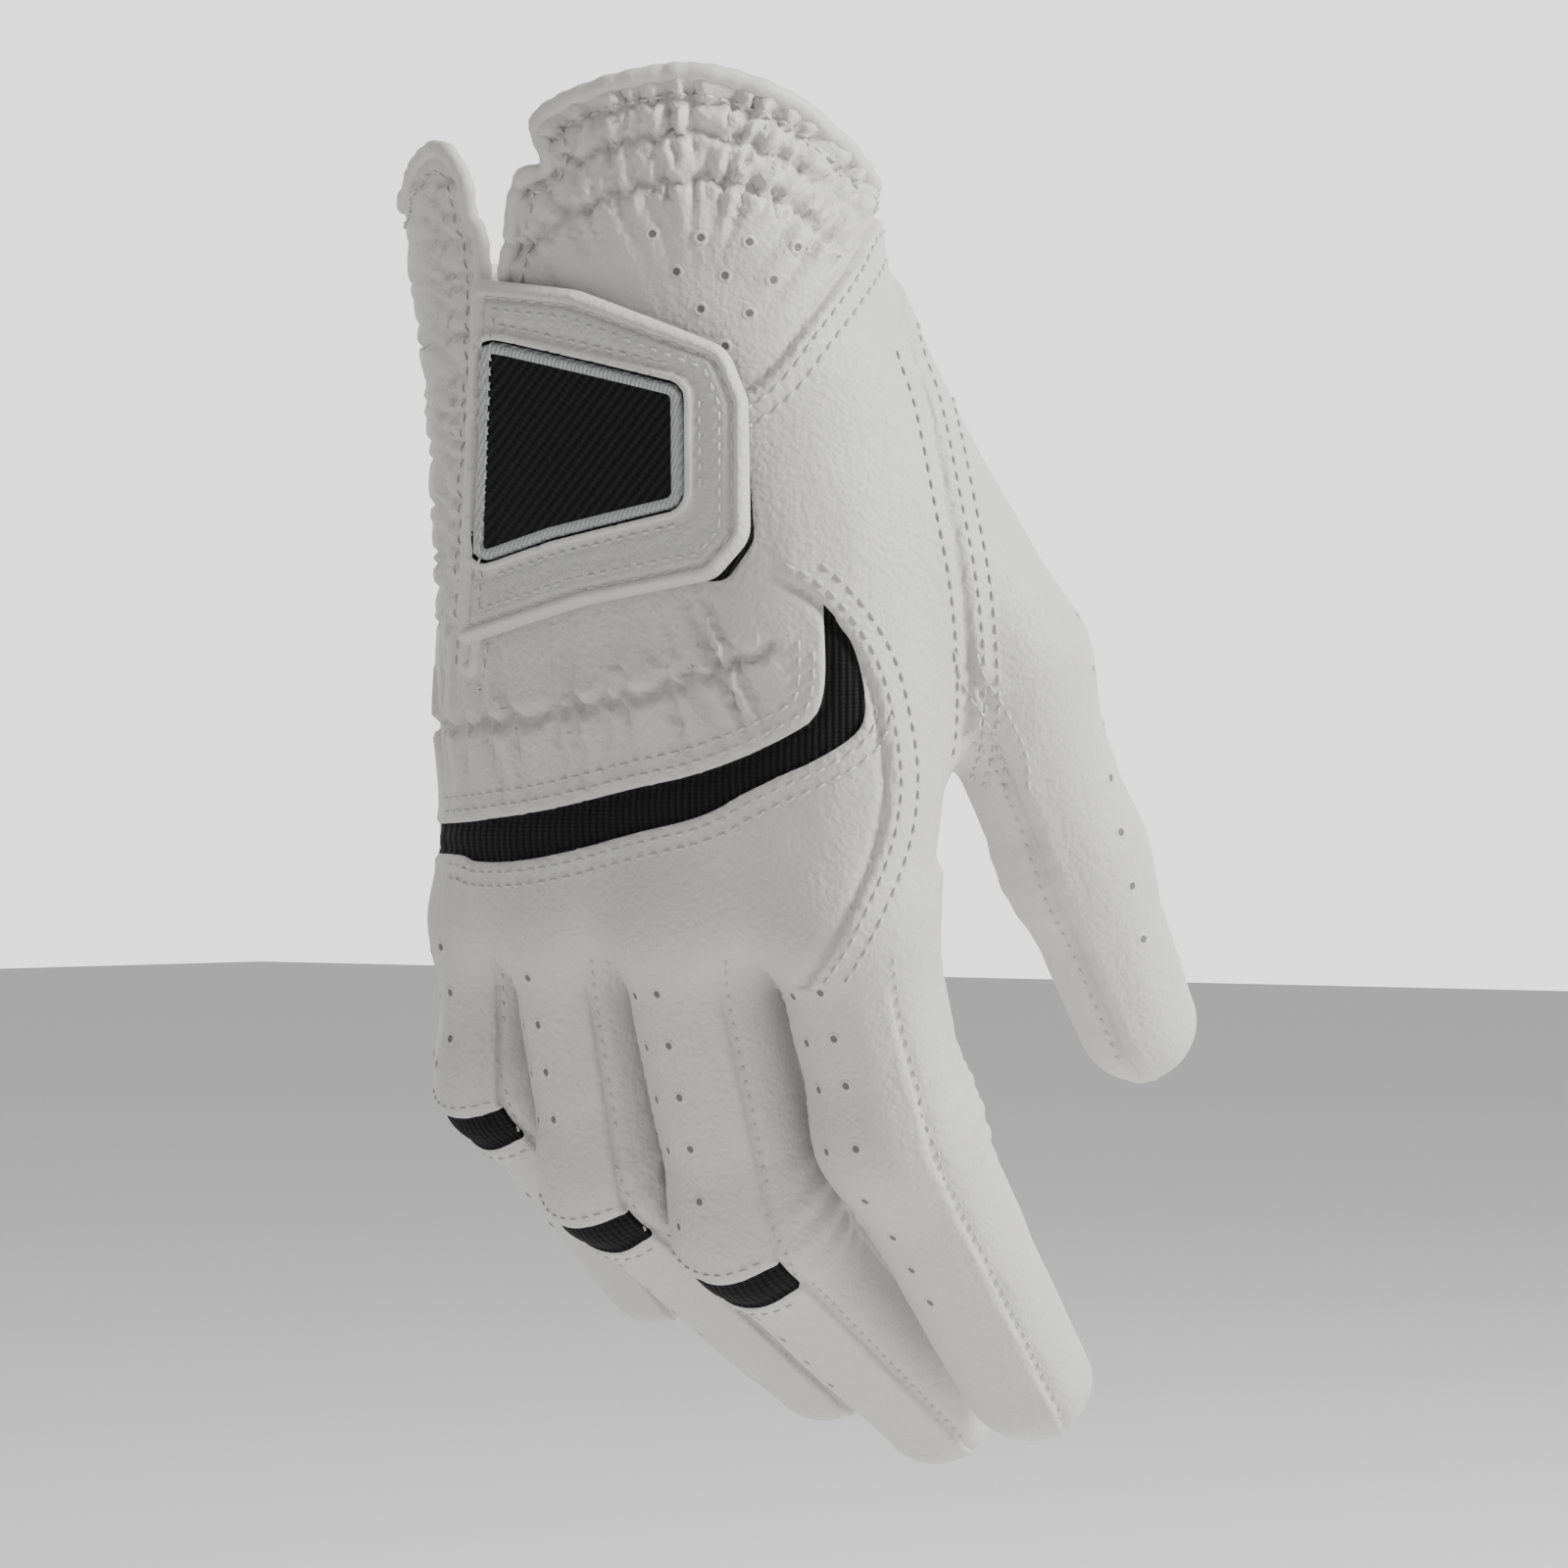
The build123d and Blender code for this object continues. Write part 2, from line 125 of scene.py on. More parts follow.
SLIT_THUMB_SIDE = [(-15.2, 30.0), (-15.2, 8.0), (-16.8, 2.0), (-18.4, -9.0), (-20.6, -30.0),
                   (-24.2, -62.5)]
SLIT_LITTLE_SIDE = [(-25.6, -62.5), (-23.6, -30.0), (-22.6, -10.0), (-23.4, -3.0), (-24.4, 3.0),
                    (-26.0, 6.4), (-27.0, 30.0)]
SHIRR_ROWS = [[(-15.0, 6.6), (-9.0, 10.0), (4.7, 12.7), (18.0, 9.0), (27.5, 1.6)],
              [(-16.0, 1.2), (-9.0, 5.2), (4.7, 8.0), (17.0, 5.0), (28.2, -2.6)],
              [(-17.6, -7.0), (-9.0, -1.6), (4.7, 2.0), (15.0, 0.2), (26.0, -7.8)]]
KNUCKLE_GATHER = [(-40.0, -70.4), (-24.7, -69.6), (-14.0, -68.2), (2.0, -64.9), (12.0, -61.6),
                  (16.0, -59.6)]
PALM_CUFF_LEFT, PALM_CUFF_RIGHT = -10.0, 1.5
FLAP_FOOT = -62.5
# Where each stall's seams run, as degrees turned from the middle of its back.
THUMB_SEAM_TURN = 106.0
FINGER_SEAM_TURN = 50.0
PALM_SEAM_TURN = 128
MM_A_DEGREE = 0.17          # round a stall of average thickness
CREASE_PITCH = 4.6

TAB = [(-24.2, -10.5), (-10.0, -12.7), (10.4, -20.6), (13.2, -27.5), (13.3, -46.0),
       (8.6, -51.2), (-9.0, -54.4), (-27.0, -59.6), (-25.4, -35.0)]
TAB_ROUND = [0.8, 6.0, 5.0, 4.0, 5.0, 4.0, 8.0, 0.6, 0.0]
INLAY = [(-21.2, -20.4), (3.1, -26.9), (3.2, -40.3), (-13.4, -43.9), (-22.3, -46.6)]
INLAY_ROUND = [0.5, 0.8, 1.0, 3.0, 0.5]
LOOP = [(-9.0, -21.0), (10.0, -24.0), (13.4, -34.0), (14.3, -46.0), (10.6, -51.4), (-9.0, -50.0)]
HOOK = [(-6.0, -24.0), (9.5, -27.0), (10.0, -45.0), (-6.0, -48.5)]


# ---- plane geometry ------------------------------------------------------------------------------
def smooth_line(points, step=0.7):
    """Points along a Catmull-Rom curve through the given ones."""
    p = np.array([points[0], *points, points[-1]], float)
    out = []
    for a, b, c, d in zip(p, p[1:], p[2:], p[3:]):
        n = max(2, int(np.linalg.norm(c - b) / step))
        t = np.linspace(0, 1, n, endpoint=False)[:, None]
        out.append(0.5 * ((2 * b) + (c - a) * t + (2 * a - 5 * b + 4 * c - d) * t**2
                          + (3 * b - a - 3 * c + d) * t**3))
    out.append(p[-1][None])
    return np.vstack(out)


def rounded(points, radii, steps=6):
    """A closed outline with each corner rounded."""
    pts = np.array(points, float)
    out = []
    for i, radius in enumerate(radii):
        here, before, after = pts[i], pts[i - 1], pts[(i + 1) % len(pts)]
        if not radius:
            out.append(here)
            continue
        a = (before - here) / np.linalg.norm(before - here)
        b = (after - here) / np.linalg.norm(after - here)
        half = math.acos(float(np.clip(a @ b, -1, 1))) / 2
        reach = min(radius / math.tan(half), 0.45 * np.linalg.norm(before - here),
                    0.45 * np.linalg.norm(after - here))
        for k in range(steps + 1):
            t = k / steps
            out.append((1 - t)**2 * (here + a * reach) + 2 * t * (1 - t) * here
                       + t**2 * (here + b * reach))
    return np.array(out)


def side_of(line, uv):
    """Signed distance to an open line: positive on the right when walking along it."""
    best = np.full(len(uv), 1e9)
    sign = np.ones(len(uv))
    for a, b in zip(line, line[1:]):
        ab = b - a
        ap = uv - a
        t = np.clip(ap @ ab / (ab @ ab + 1e-12), 0, 1)
        off = ap - t[:, None] * ab
        d = np.hypot(off[:, 0], off[:, 1])
        cross = ab[0] * ap[:, 1] - ab[1] * ap[:, 0]
        near = d < best - 1e-9
        tie = (np.abs(d - best) <= 1e-9)
        best = np.where(near, d, best)
        sign = np.where(near, -np.sign(cross), sign)
        sign = np.where(tie & (t > 0) & (t < 1), -np.sign(cross), sign)
    sign[sign == 0] = 1
    return best * sign


def inside_of(outline, uv):
    """Signed distance to a closed outline: positive inside."""
    best = np.full(len(uv), 1e9)
    inside = np.zeros(len(uv), bool)
    closed = np.vstack([outline, outline[:1]])
    for a, b in zip(closed, closed[1:]):
        ab = b - a
        ap = uv - a
        t = np.clip(ap @ ab / (ab @ ab + 1e-12), 0, 1)
        off = ap - t[:, None] * ab
        best = np.minimum(best, np.hypot(off[:, 0], off[:, 1]))
        if a[1] != b[1]:
            crosses = (a[1] > uv[:, 1]) != (b[1] > uv[:, 1])
            x = a[0] + (uv[:, 1] - a[1]) * ab[0] / ab[1]
            inside ^= crosses & (uv[:, 0] < x)
    return np.where(inside, best, -best)


def to_pattern(p):
    return np.stack([p @ ACROSS, p[:, 2]], 1)


def ease(x):
    x = np.clip(x, 0, 1)
    return x * x * (3 - 2 * x)


# ---- the glove's form as a distance field --------------------------------------------------------
heights = np.arange(-190.0, 60.0, 1.0)
kernel = np.exp(-0.5 * (np.arange(-18, 19) / 6.0)**2)
kernel /= kernel.sum()
section_table = []
for column in range(1, 5):
    raw = np.interp(heights, HAND_SECTIONS[::-1, 0], HAND_SECTIONS[::-1, column])
    padded_raw = np.pad(raw, 18, mode="edge")
    section_table.append(np.convolve(padded_raw, kernel, mode="valid"))


def smin(a, b, k):
    h = np.clip(0.5 + 0.5 * (b - a) / k, 0, 1)
    return b + (a - b) * h - k * h * (1 - h)


def rod(p, a, b, ra, rb):
    a, b = np.array(a), np.array(b)
    ab = b - a
    t = np.clip((p - a) @ ab / (ab @ ab), 0, 1)
    return np.linalg.norm(p - a - t[:, None] * ab, axis=1) - (ra + (rb - ra) * t)


def hand_tube(p):
    cx, cy, hx, hy = (np.interp(p[:, 2], heights, column) for column in section_table)
    dx, dy = p[:, 0] - cx, p[:, 1] - cy
    rho = (np.abs(dx / hx)**SQUARENESS + np.abs(dy / hy)**SQUARENESS)**(1 / SQUARENESS)
    return np.hypot(dx, dy) * (1 - 1 / np.maximum(rho, 0.05))


def form(p):
    """Distance from the glove's outer surface, negative inside."""
    hand = hand_tube(p)
    hand = -smin(-hand, p[:, 2] + 101.0, 9.0)
    fingers, last = None, None
    for name in FINGERS:
        root, joint, tip, radii, _ = STALLS[name]
        one = smin(rod(p, root, joint, radii[0], radii[1]),
                   rod(p, joint, tip, radii[1], radii[2]), 5.0)
        if last is None:
            fingers = one
        else:
            # neighbours never join: a thin gap is kept where they would touch
            fingers = np.maximum(np.minimum(fingers, one), 0.7 * CELL - np.abs(one - last) / 2)
        last = one
    root, joint, tip, radii, _ = STALLS["thumb"]
    thumb = smin(rod(p, root, joint, radii[0], radii[1]), rod(p, joint, tip, radii[1], radii[2]), 5)
    ball = rod(p, THENAR[0], root, THENAR[1], radii[0] + 0.8)
    thumb = smin(thumb, ball, 4.0)
    return smin(smin(hand, fingers, 7.0), thumb, 9.0)


def gradient(p, reach=0.25):
    g = np.stack([form(p + reach * e) - form(p - reach * e) for e in np.eye(3)], 1)
    return g / np.maximum(np.linalg.norm(g, axis=1, keepdims=True), 1e-9)


def surface_net():
    """The zero surface of the form as a mesh of quads, one vertex to a grid cell."""
    low, high = np.array([-50.0, -32.0, -180.0]), np.array([64.0, 64.0, 26.0])
    counts = np.ceil((high - low) / CELL).astype(int) + 1
    axes = [low[i] + CELL * np.arange(counts[i]) for i in range(3)]
    values = np.empty(counts)
    yz = np.stack(np.meshgrid(axes[1], axes[2], indexing="ij"), -1).reshape(-1, 2)
    for i, x in enumerate(axes[0]):
        points = np.column_stack([np.full(len(yz), x), yz])
        values[i] = form(points).reshape(counts[1], counts[2])
    inside = values < 0
    shape = tuple(counts - 1)
    total = np.zeros(shape + (3,))
    hits = np.zeros(shape)
    corners = [(i, j, k) for i in (0, 1) for j in (0, 1) for k in (0, 1)]

    def corner(array, c):
        return array[c[0]:c[0] + shape[0], c[1]:c[1] + shape[1], c[2]:c[2] + shape[2]]

    for a in corners:
        for axis in range(3):
            if a[axis]:
                continue
            b = tuple(v + (1 if i == axis else 0) for i, v in enumerate(a))
            va, vb = corner(values, a), corner(values, b)
            cross = (va < 0) != (vb < 0)
            t = np.where(cross, va / np.where(cross, va - vb, 1), 0)
            for i in range(3):
                total[..., i] += np.where(cross, a[i] + (t if i == axis else 0), 0)
            hits += cross
    used = hits > 0
    index = np.full(shape, -1)
    index[used] = np.arange(used.sum())
    where = np.argwhere(used)
    verts = low + CELL * (where + total[used] / hits[used][:, None])
    quads = []
    for axis in range(3):
        b, c = [(1, 2), (2, 0), (0, 1)][axis]
        first = [slice(1, -1)] * 3
        second = [slice(1, -1)] * 3
        first[axis], second[axis] = slice(0, -1), slice(1, None)
        va, vb = inside[tuple(first)], inside[tuple(second)]
        for flip in (False, True):
            at = np.argwhere(va & ~vb if not flip else ~va & vb)
            at[:, b] += 1
            at[:, c] += 1
            eb, ec = np.eye(3, dtype=int)[b], np.eye(3, dtype=int)[c]
            ring = [at - eb - ec, at - ec, at, at - eb]
            if flip:
                ring = ring[::-1]
            quads.append(np.stack([index[tuple(r.T)] for r in ring], 1))
    quads = np.vstack(quads)
    quads = quads[(quads >= 0).all(1)]
    for _ in range(4):
        verts = verts - form(verts)[:, None] * gradient(verts) * 0.8
    return verts, quads


# ---- mesh tools ----------------------------------------------------------------------------------
def cut(verts, tris, fields, name, snap=0.12):
    """Splits every triangle that a field's zero line crosses. Every field is carried along."""
    f = fields[name]
    edges = np.sort(np.vstack([tris[:, [0, 1]], tris[:, [1, 2]], tris[:, [2, 0]]]), axis=1)
    edges = np.unique(edges, axis=0)
    fa, fb = f[edges[:, 0]], f[edges[:, 1]]
    cross = (fa > 0) != (fb > 0)
    t = np.where(cross, fa / np.where(cross, fa - fb, 1), 0.5)
    for end, close in ((0, cross & (t < snap)), (1, cross & (t > 1 - snap))):
        rows = np.flatnonzero(close)
        target, other = edges[rows, end], edges[rows, 1 - end]
        share = t[rows] if end == 0 else 1 - t[rows]
        target, first = np.unique(target, return_index=True)
        other, share = other[first], share[first]
        verts[target] += (verts[other] - verts[target]) * share[:, None]
        for key in fields:
            fields[key][target] += (fields[key][other] - fields[key][target]) * share
        fields[name][target] = 0.0
    f = fields[name]
    f[np.abs(f) < 1e-6] = 0.0
    fa, fb = f[edges[:, 0]], f[edges[:, 1]]
    cross = fa * fb < 0
    rows = edges[cross]
    t = (fa[cross] / (fa[cross] - fb[cross]))
    count = len(verts)
    new = verts[rows[:, 0]] + (verts[rows[:, 1]] - verts[rows[:, 0]]) * t[:, None]
    verts = np.vstack([verts, new])
    for key in fields:
        g = fields[key]
        fields[key] = np.concatenate([g, g[rows[:, 0]] + (g[rows[:, 1]] - g[rows[:, 0]]) * t])
    fields[name][count:] = 0.0
    f = fields[name]
    codes = rows[:, 0].astype(np.int64) * (count + 1) + rows[:, 1]
    order = np.argsort(codes)
    codes, ids = codes[order], (count + np.arange(len(rows)))[order]

    def middle(a, b):
        key = np.minimum(a, b).astype(np.int64) * (count + 1) + np.maximum(a, b)
        return ids[np.searchsorted(codes, key)]

    s = np.sign(f[tris])
    plain = ((s >= 0).all(1)) | ((s <= 0).all(1))
    out = [tris[plain]]
    rest, s = tris[~plain], s[~plain]
    for turn in range(3):
        a, b, c = rest[:, turn], rest[:, (turn + 1) % 3], rest[:, (turn + 2) % 3]
        sa, sb, sc = s[:, turn], s[:, (turn + 1) % 3], s[:, (turn + 2) % 3]
        lone = (sb == sc) & (sa == -sb) & (sa != 0)
        if lone.any():
            A, B, C = a[lone], b[lone], c[lone]
            ab, ac = middle(A, B), middle(A, C)
            out += [np.stack([A, ab, ac], 1), np.stack([ab, B, C], 1), np.stack([ab, C, ac], 1)]
        on = (sa == 0) & (sb == -sc) & (sb != 0)
        if on.any():
            A, B, C = a[on], b[on], c[on]
            bc = middle(B, C)
            out += [np.stack([A, B, bc], 1), np.stack([A, bc, C], 1)]
    return verts, np.vstack(out)


def vertex_normals(verts, tris):
    n = np.cross(verts[tris[:, 1]] - verts[tris[:, 0]], verts[tris[:, 2]] - verts[tris[:, 0]])
    out = np.zeros_like(verts)
    for i in range(3):
        for axis in range(3):
            out[:, axis] += np.bincount(tris[:, i], n[:, axis], len(verts))
    return out / np.maximum(np.linalg.norm(out, axis=1, keepdims=True), 1e-12)


def make_piece(name, verts, tris, material, normals=None, uv=None):
    """A mesh object from millimetre points, keeping only the points its faces use."""
    used, flat = np.unique(tris, return_inverse=True)
    tris = flat.reshape(-1, 3)
    mesh = bpy.data.meshes.new(name)
    mesh.from_pydata((verts[used] * MM).tolist(), [], tris.tolist())
    mesh.polygons.foreach_set("use_smooth", [True] * len(tris))
    if uv is not None:
        layer = mesh.uv_layers.new(name="pattern")
        layer.data.foreach_set("uv", (uv[used][tris.ravel()] * MM).ravel())
    mesh.materials.append(material)
    mesh.update()
    if normals is not None:
        mesh.normals_split_custom_set_from_vertices(normals[used].tolist())
    obj = bpy.data.objects.new(name, mesh)
    bpy.context.collection.objects.link(obj)
    return obj


def tube(points, radii, normals=None, closed=False, sides=10, flat=1.0):
    """Points and faces of a tube along a line; flat squeezes it against the surface below."""
    p = np.asarray(points, float)
    n = len(p)
    if closed:
        tangent = np.roll(p, -1, 0) - np.roll(p, 1, 0)
    else:
        tangent = np.gradient(p, axis=0)
    tangent /= np.maximum(np.linalg.norm(tangent, axis=1, keepdims=True), 1e-9)
    if normals is None:
        normals = np.tile([0.0, 0.0, 1.0], (n, 1))
    up = normals - tangent * (normals * tangent).sum(1, keepdims=True)
    up /= np.maximum(np.linalg.norm(up, axis=1, keepdims=True), 1e-9)
    across = np.cross(tangent, up)
    angle = np.arange(sides) * 2 * math.pi / sides
    r = np.broadcast_to(np.asarray(radii, float), (n,))[:, None, None]
    ring = (across[:, None] * np.cos(angle)[None, :, None]
            + up[:, None] * np.sin(angle)[None, :, None] * flat) * r + p[:, None]
    verts = ring.reshape(-1, 3)
    tris = []
    for i in range(n if closed else n - 1):
        j = (i + 1) % n
        for k in range(sides):
            m = (k + 1) % sides
            a, b, c, d = i * sides + k, i * sides + m, j * sides + m, j * sides + k
            tris += [(a, b, c), (a, c, d)]
    if not closed:
        for start, flip in ((0, False), ((n - 1) * sides, True)):
            for k in range(1, sides - 1):
                face = (start, start + k + 1, start + k)
                tris.append(face[::-1] if flip else face)
    return verts, np.array(tris)


def join(parts):
    verts, tris, count = [], [], 0
    for v, t in parts:
        verts.append(v)
        tris.append(t + count)
        count += len(v)
    return np.vstack(verts), np.vstack(tris)


def resample(points, pitch, *others):
    """The line again with even spacing, and anything that goes with its points."""
    p = np.asarray(points, float)
    s = np.concatenate([[0], np.cumsum(np.linalg.norm(np.diff(p, axis=0), axis=1))])
    n = max(2, int(round(s[-1] / pitch)))
    at = np.linspace(0, s[-1], n)
    out = [np.stack([np.interp(at, s, q[:, i]) for i in range(q.shape[1])], 1)
           for q in (p, *[np.asarray(o, float) for o in others])]
    return out if others else out[0]


def stitches(points, normals, pitch=2.3, radius=0.24, sink=0.02, fill=0.72):
    """A row of thread stitches lying on a surface: each dips into the leather at both ends."""
    if len(points) < 4:
        return []
    step = 0.25
    p, n = resample(points, step, normals)
    n /= np.linalg.norm(n, axis=1, keepdims=True)
    each = int(pitch / step)
    length = int(each * fill)
    parts = []
    for start in range(0, len(p) - length - 1, each):
        rows = np.arange(start, start + length + 1, 1)
        if np.linalg.norm(p[rows[-1]] - p[rows[0]]) > 2 * pitch:
            continue
        t = np.linspace(-1, 1, len(rows))
        rise = (1 - t**4) * (radius + sink) - 0.42 * t**4
        parts.append(tube(p[rows] + n[rows] * rise[:, None], radius * (1 - 0.3 * t**6), n[rows],
                          sides=6, flat=0.8))
    return parts


# ---- materials -----------------------------------------------------------------------------------
def new_material(name, colour, roughness):
    mat = bpy.data.materials.new(name)
    mat.use_nodes = True
    shader = mat.node_tree.nodes["Principled BSDF"]
    shader.inputs["Base Color"].default_value = (*colour, 1)
    shader.inputs["Roughness"].default_value = roughness
    return mat, mat.node_tree.nodes, mat.node_tree.links, shader


def node(nodes, kind, **values):
    made = nodes.new(kind)
    for key, value in values.items():
        if key in made.inputs:
            made.inputs[key].default_value = value
        else:
            setattr(made, key, value)
    return made


def leather(name, colour, grain, depth, roughness=0.5, cloudy=0.05):
    """Glove leather: small round pebbles, faint wrinkles and a little unevenness in the dye."""
    mat, nodes, links, shader = new_material(name, colour, roughness)
    where = node(nodes, "ShaderNodeTexCoord")
    pebble = node(nodes, "ShaderNodeTexVoronoi", Scale=grain, feature="SMOOTH_F1")
    pebble.inputs["Smoothness"].default_value = 0.6
    wrinkle = node(nodes, "ShaderNodeTexNoise", Scale=grain * 0.45, Detail=5.0, Roughness=0.6)
    cloud = node(nodes, "ShaderNodeTexNoise", Scale=38.0, Detail=3.0)
    warp = node(nodes, "ShaderNodeVectorMath", operation="ADD")
    bend = node(nodes, "ShaderNodeTexNoise", Scale=grain * 0.7, Detail=2.0)
    shrink = node(nodes, "ShaderNodeVectorMath", operation="SCALE")
    shrink.inputs["Scale"].default_value = 0.5 / grain
    links.new(where.outputs["Object"], bend.inputs["Vector"])
    links.new(bend.outputs["Color"], shrink.inputs[0])
    links.new(where.outputs["Object"], warp.inputs[0])
    links.new(shrink.outputs["Vector"], warp.inputs[1])
    links.new(warp.outputs["Vector"], pebble.inputs["Vector"])
    links.new(where.outputs["Object"], wrinkle.inputs["Vector"])
    links.new(where.outputs["Object"], cloud.inputs["Vector"])
    height = node(nodes, "ShaderNodeMath", operation="MULTIPLY_ADD")
    height.inputs[1].default_value = -0.55
    links.new(pebble.outputs["Distance"], height.inputs[0])
    links.new(wrinkle.outputs["Fac"], height.inputs[2])
    bump = node(nodes, "ShaderNodeBump", Strength=0.8, Distance=depth)
    links.new(height.outputs[0], bump.inputs["Height"])
    links.new(bump.outputs["Normal"], shader.inputs["Normal"])
    tone = node(nodes, "ShaderNodeMapRange")
    tone.inputs["To Min"].default_value = 1 - cloudy
    tone.inputs["To Max"].default_value = 1.0
    links.new(cloud.outputs["Fac"], tone.inputs["Value"])
    mix = node(nodes, "ShaderNodeMix", data_type="RGBA", blend_type="MULTIPLY")
    mix.inputs[0].default_value = 1.0
    mix.inputs[6].default_value = (*colour, 1)
    links.new(tone.outputs["Result"], mix.inputs[7])
    links.new(mix.outputs[2], shader.inputs["Base Color"])
    rough = node(nodes, "ShaderNodeMapRange")
    rough.inputs["To Min"].default_value = roughness - 0.07
    rough.inputs["To Max"].default_value = roughness + 0.1
    links.new(wrinkle.outputs["Fac"], rough.inputs["Value"])
    links.new(rough.outputs["Result"], shader.inputs["Roughness"])
    shader.inputs["Sheen Weight"].default_value = 0.06
    return mat


def ribbed(name, colour, pitch, angle, depth, roughness=0.8, light=(0.014, 0.014, 0.015),
           shine=0.15):
    """Woven or knitted cloth with raised ribs at an angle on the pattern, in metres. The rib crests
    are painted lighter: a painted highlight on each crest.
    """
    mat, nodes, links, shader = new_material(name, colour, roughness)
    where = node(nodes, "ShaderNodeUVMap", uv_map="pattern")
    turned = node(nodes, "ShaderNodeMapping")
    turned.inputs["Rotation"].default_value = (0, 0, angle)
    wave = node(nodes, "ShaderNodeTexWave", Scale=2 * math.pi / 20 / pitch, Distortion=0.35)
    wave.inputs["Detail"].default_value = 1.0
    wave.inputs["Detail Scale"].default_value = 2.0
    cross = node(nodes, "ShaderNodeTexWave", Scale=2 * math.pi / 20 / (pitch * 0.62),
                 Distortion=0.2, bands_direction="Y")
    fuzz = node(nodes, "ShaderNodeTexNoise", Scale=3000.0, Detail=3.0)
    links.new(where.outputs["UV"], turned.inputs["Vector"])
    for texture in (wave, cross, fuzz):
        links.new(turned.outputs["Vector"], texture.inputs["Vector"])
    both = node(nodes, "ShaderNodeMath", operation="MULTIPLY_ADD")
    both.inputs[1].default_value = 0.3
    links.new(cross.outputs["Fac"], both.inputs[0])
    links.new(wave.outputs["Fac"], both.inputs[2])
    rough = node(nodes, "ShaderNodeMath", operation="MULTIPLY_ADD")
    rough.inputs[1].default_value = 0.3
    links.new(fuzz.outputs["Fac"], rough.inputs[0])
    links.new(both.outputs[0], rough.inputs[2])
    bump = node(nodes, "ShaderNodeBump", Strength=0.9, Distance=depth)
    links.new(rough.outputs[0], bump.inputs["Height"])
    links.new(bump.outputs["Normal"], shader.inputs["Normal"])
    # Painted highlight: the colour goes from the cloth's colour to the lighter light colour as the
    # ribs rise, so each crest is painted as lit.
    crest_highlight = node(nodes, "ShaderNodeMix", data_type="RGBA")
    crest_highlight.inputs[6].default_value = (*colour, 1)
    crest_highlight.inputs[7].default_value = (*light, 1)
    links.new(wave.outputs["Fac"], crest_highlight.inputs[0])
    links.new(crest_highlight.outputs[2], shader.inputs["Base Color"])
    shader.inputs["Specular IOR Level"].default_value = shine
    return mat


WHITE = leather("white_leather", (0.60, 0.592, 0.575), 1250, 0.00028)
PALM = leather("palm_leather", (0.62, 0.612, 0.595), 1500, 0.0002, roughness=0.46)
BOUND = leather("binding_leather", (0.64, 0.632, 0.615), 1300, 0.00012)
SUEDE = leather("tab_leather", (0.54, 0.535, 0.522), 1800, 0.0003, roughness=0.62)
LINED = leather("inner_leather", (0.55, 0.542, 0.525), 2200, 0.00012, roughness=0.8)
# The light colours given to these cloths are painted highlights on their rib crests.
STRETCH = ribbed("black_stretch", (0.0045, 0.0045, 0.005), 0.0009, 0.0, 0.00022)
TWILL = ribbed("black_twill", (0.0045, 0.0045, 0.005), 0.00115, math.radians(38), 0.0002,
               roughness=0.7, light=(0.016, 0.016, 0.0175))
SATIN = ribbed("grey_satin", (0.36, 0.365, 0.37), 0.00055, math.radians(20), 0.00018,
               roughness=0.42, light=(0.52, 0.525, 0.53), shine=0.6)
NAP = ribbed("black_loop", (0.005, 0.005, 0.005), 0.0006, 0.5, 0.0005, roughness=0.95)
HOOKS = ribbed("black_hook", (0.007, 0.007, 0.007), 0.0012, 0.0, 0.0006, roughness=0.5)
ELASTIC = ribbed("white_elastic", (0.50, 0.50, 0.49), 0.0008, 0.0, 0.0002,
                 light=(0.62, 0.62, 0.61))
THREAD = ribbed("thread", (0.58, 0.58, 0.57), 0.0003, 0.5, 0.0001, roughness=0.5,
                light=(0.70, 0.70, 0.69))
# The perforations' dark discs: painted shade standing in for the inside of each opening.
HOLE_SHADE = leather("painted_hole_shade", (0.20, 0.198, 0.19), 2600, 0.0002, roughness=0.88, cloudy=0.35)


# ---- the skin: one continuous surface, measured, cut and sorted into panels ----------------------
def axis_frame(a, b, back):
    a, b = np.array(a), np.array(b)
    length = np.linalg.norm(b - a)
    z = (b - a) / length
    x = back - z * (back @ z)
    x /= np.linalg.norm(x)
    return a, z, x, np.cross(z, x), length


def measure(p):
    """For each point: the stall it belongs to, how far along that stall, and the turn round it."""
    label = np.full(len(p), -1)
    best = hand_tube(p) - 2.0
    along = np.full(len(p), -99.0)
    turn = np.zeros(len(p))
    for number, (name, (root, joint, tip, radii, twist)) in enumerate(STALLS.items()):
        back = THUMB_BACK if name == "thumb" else FINGER_BACK
        a0, z0, x0, y0, length0 = axis_frame(root, joint, back)
        a1, z1, x1, y1, _ = axis_frame(joint, tip, back)
        s0, s1 = (p - a0) @ z0, (p - a1) @ z1
        split = z0 + z1
        beyond = (p - a1) @ (split / np.linalg.norm(split))
        far = beyond > 0
        s = np.where(far, length0 + s1, s0)
        # the two straight lengths meet on the plane that halves the bend
        straight = ease(np.abs(beyond) / 11.0)
        s = s * straight + (length0 + beyond) * (1 - straight)
        rx = np.where(far, (p - a1) @ x1, (p - a0) @ x0)
        ry = np.where(far, (p - a1) @ y1, (p - a0) @ y0)
        r = np.hypot(rx, ry)
        d = np.minimum(rod(p, root, joint, radii[0], radii[1]),
                       rod(p, joint, tip, radii[1], radii[2]))
        here = (d < 6) & (s0 > -6)
        take = here & ((d < best) | (s0 > 3)) & ((label < 0) | (d < best))
        label[take] = number
        best[take] = d[take]
        along[take] = s[take]
        # the turn is 0 on the back and grows towards the thumb side of a finger
        turn[take] = np.degrees(np.arctan2(-ry, rx))[take] - twist
        turn[take] = (turn[take] + 180) % 360 - 180
    return label, along, turn


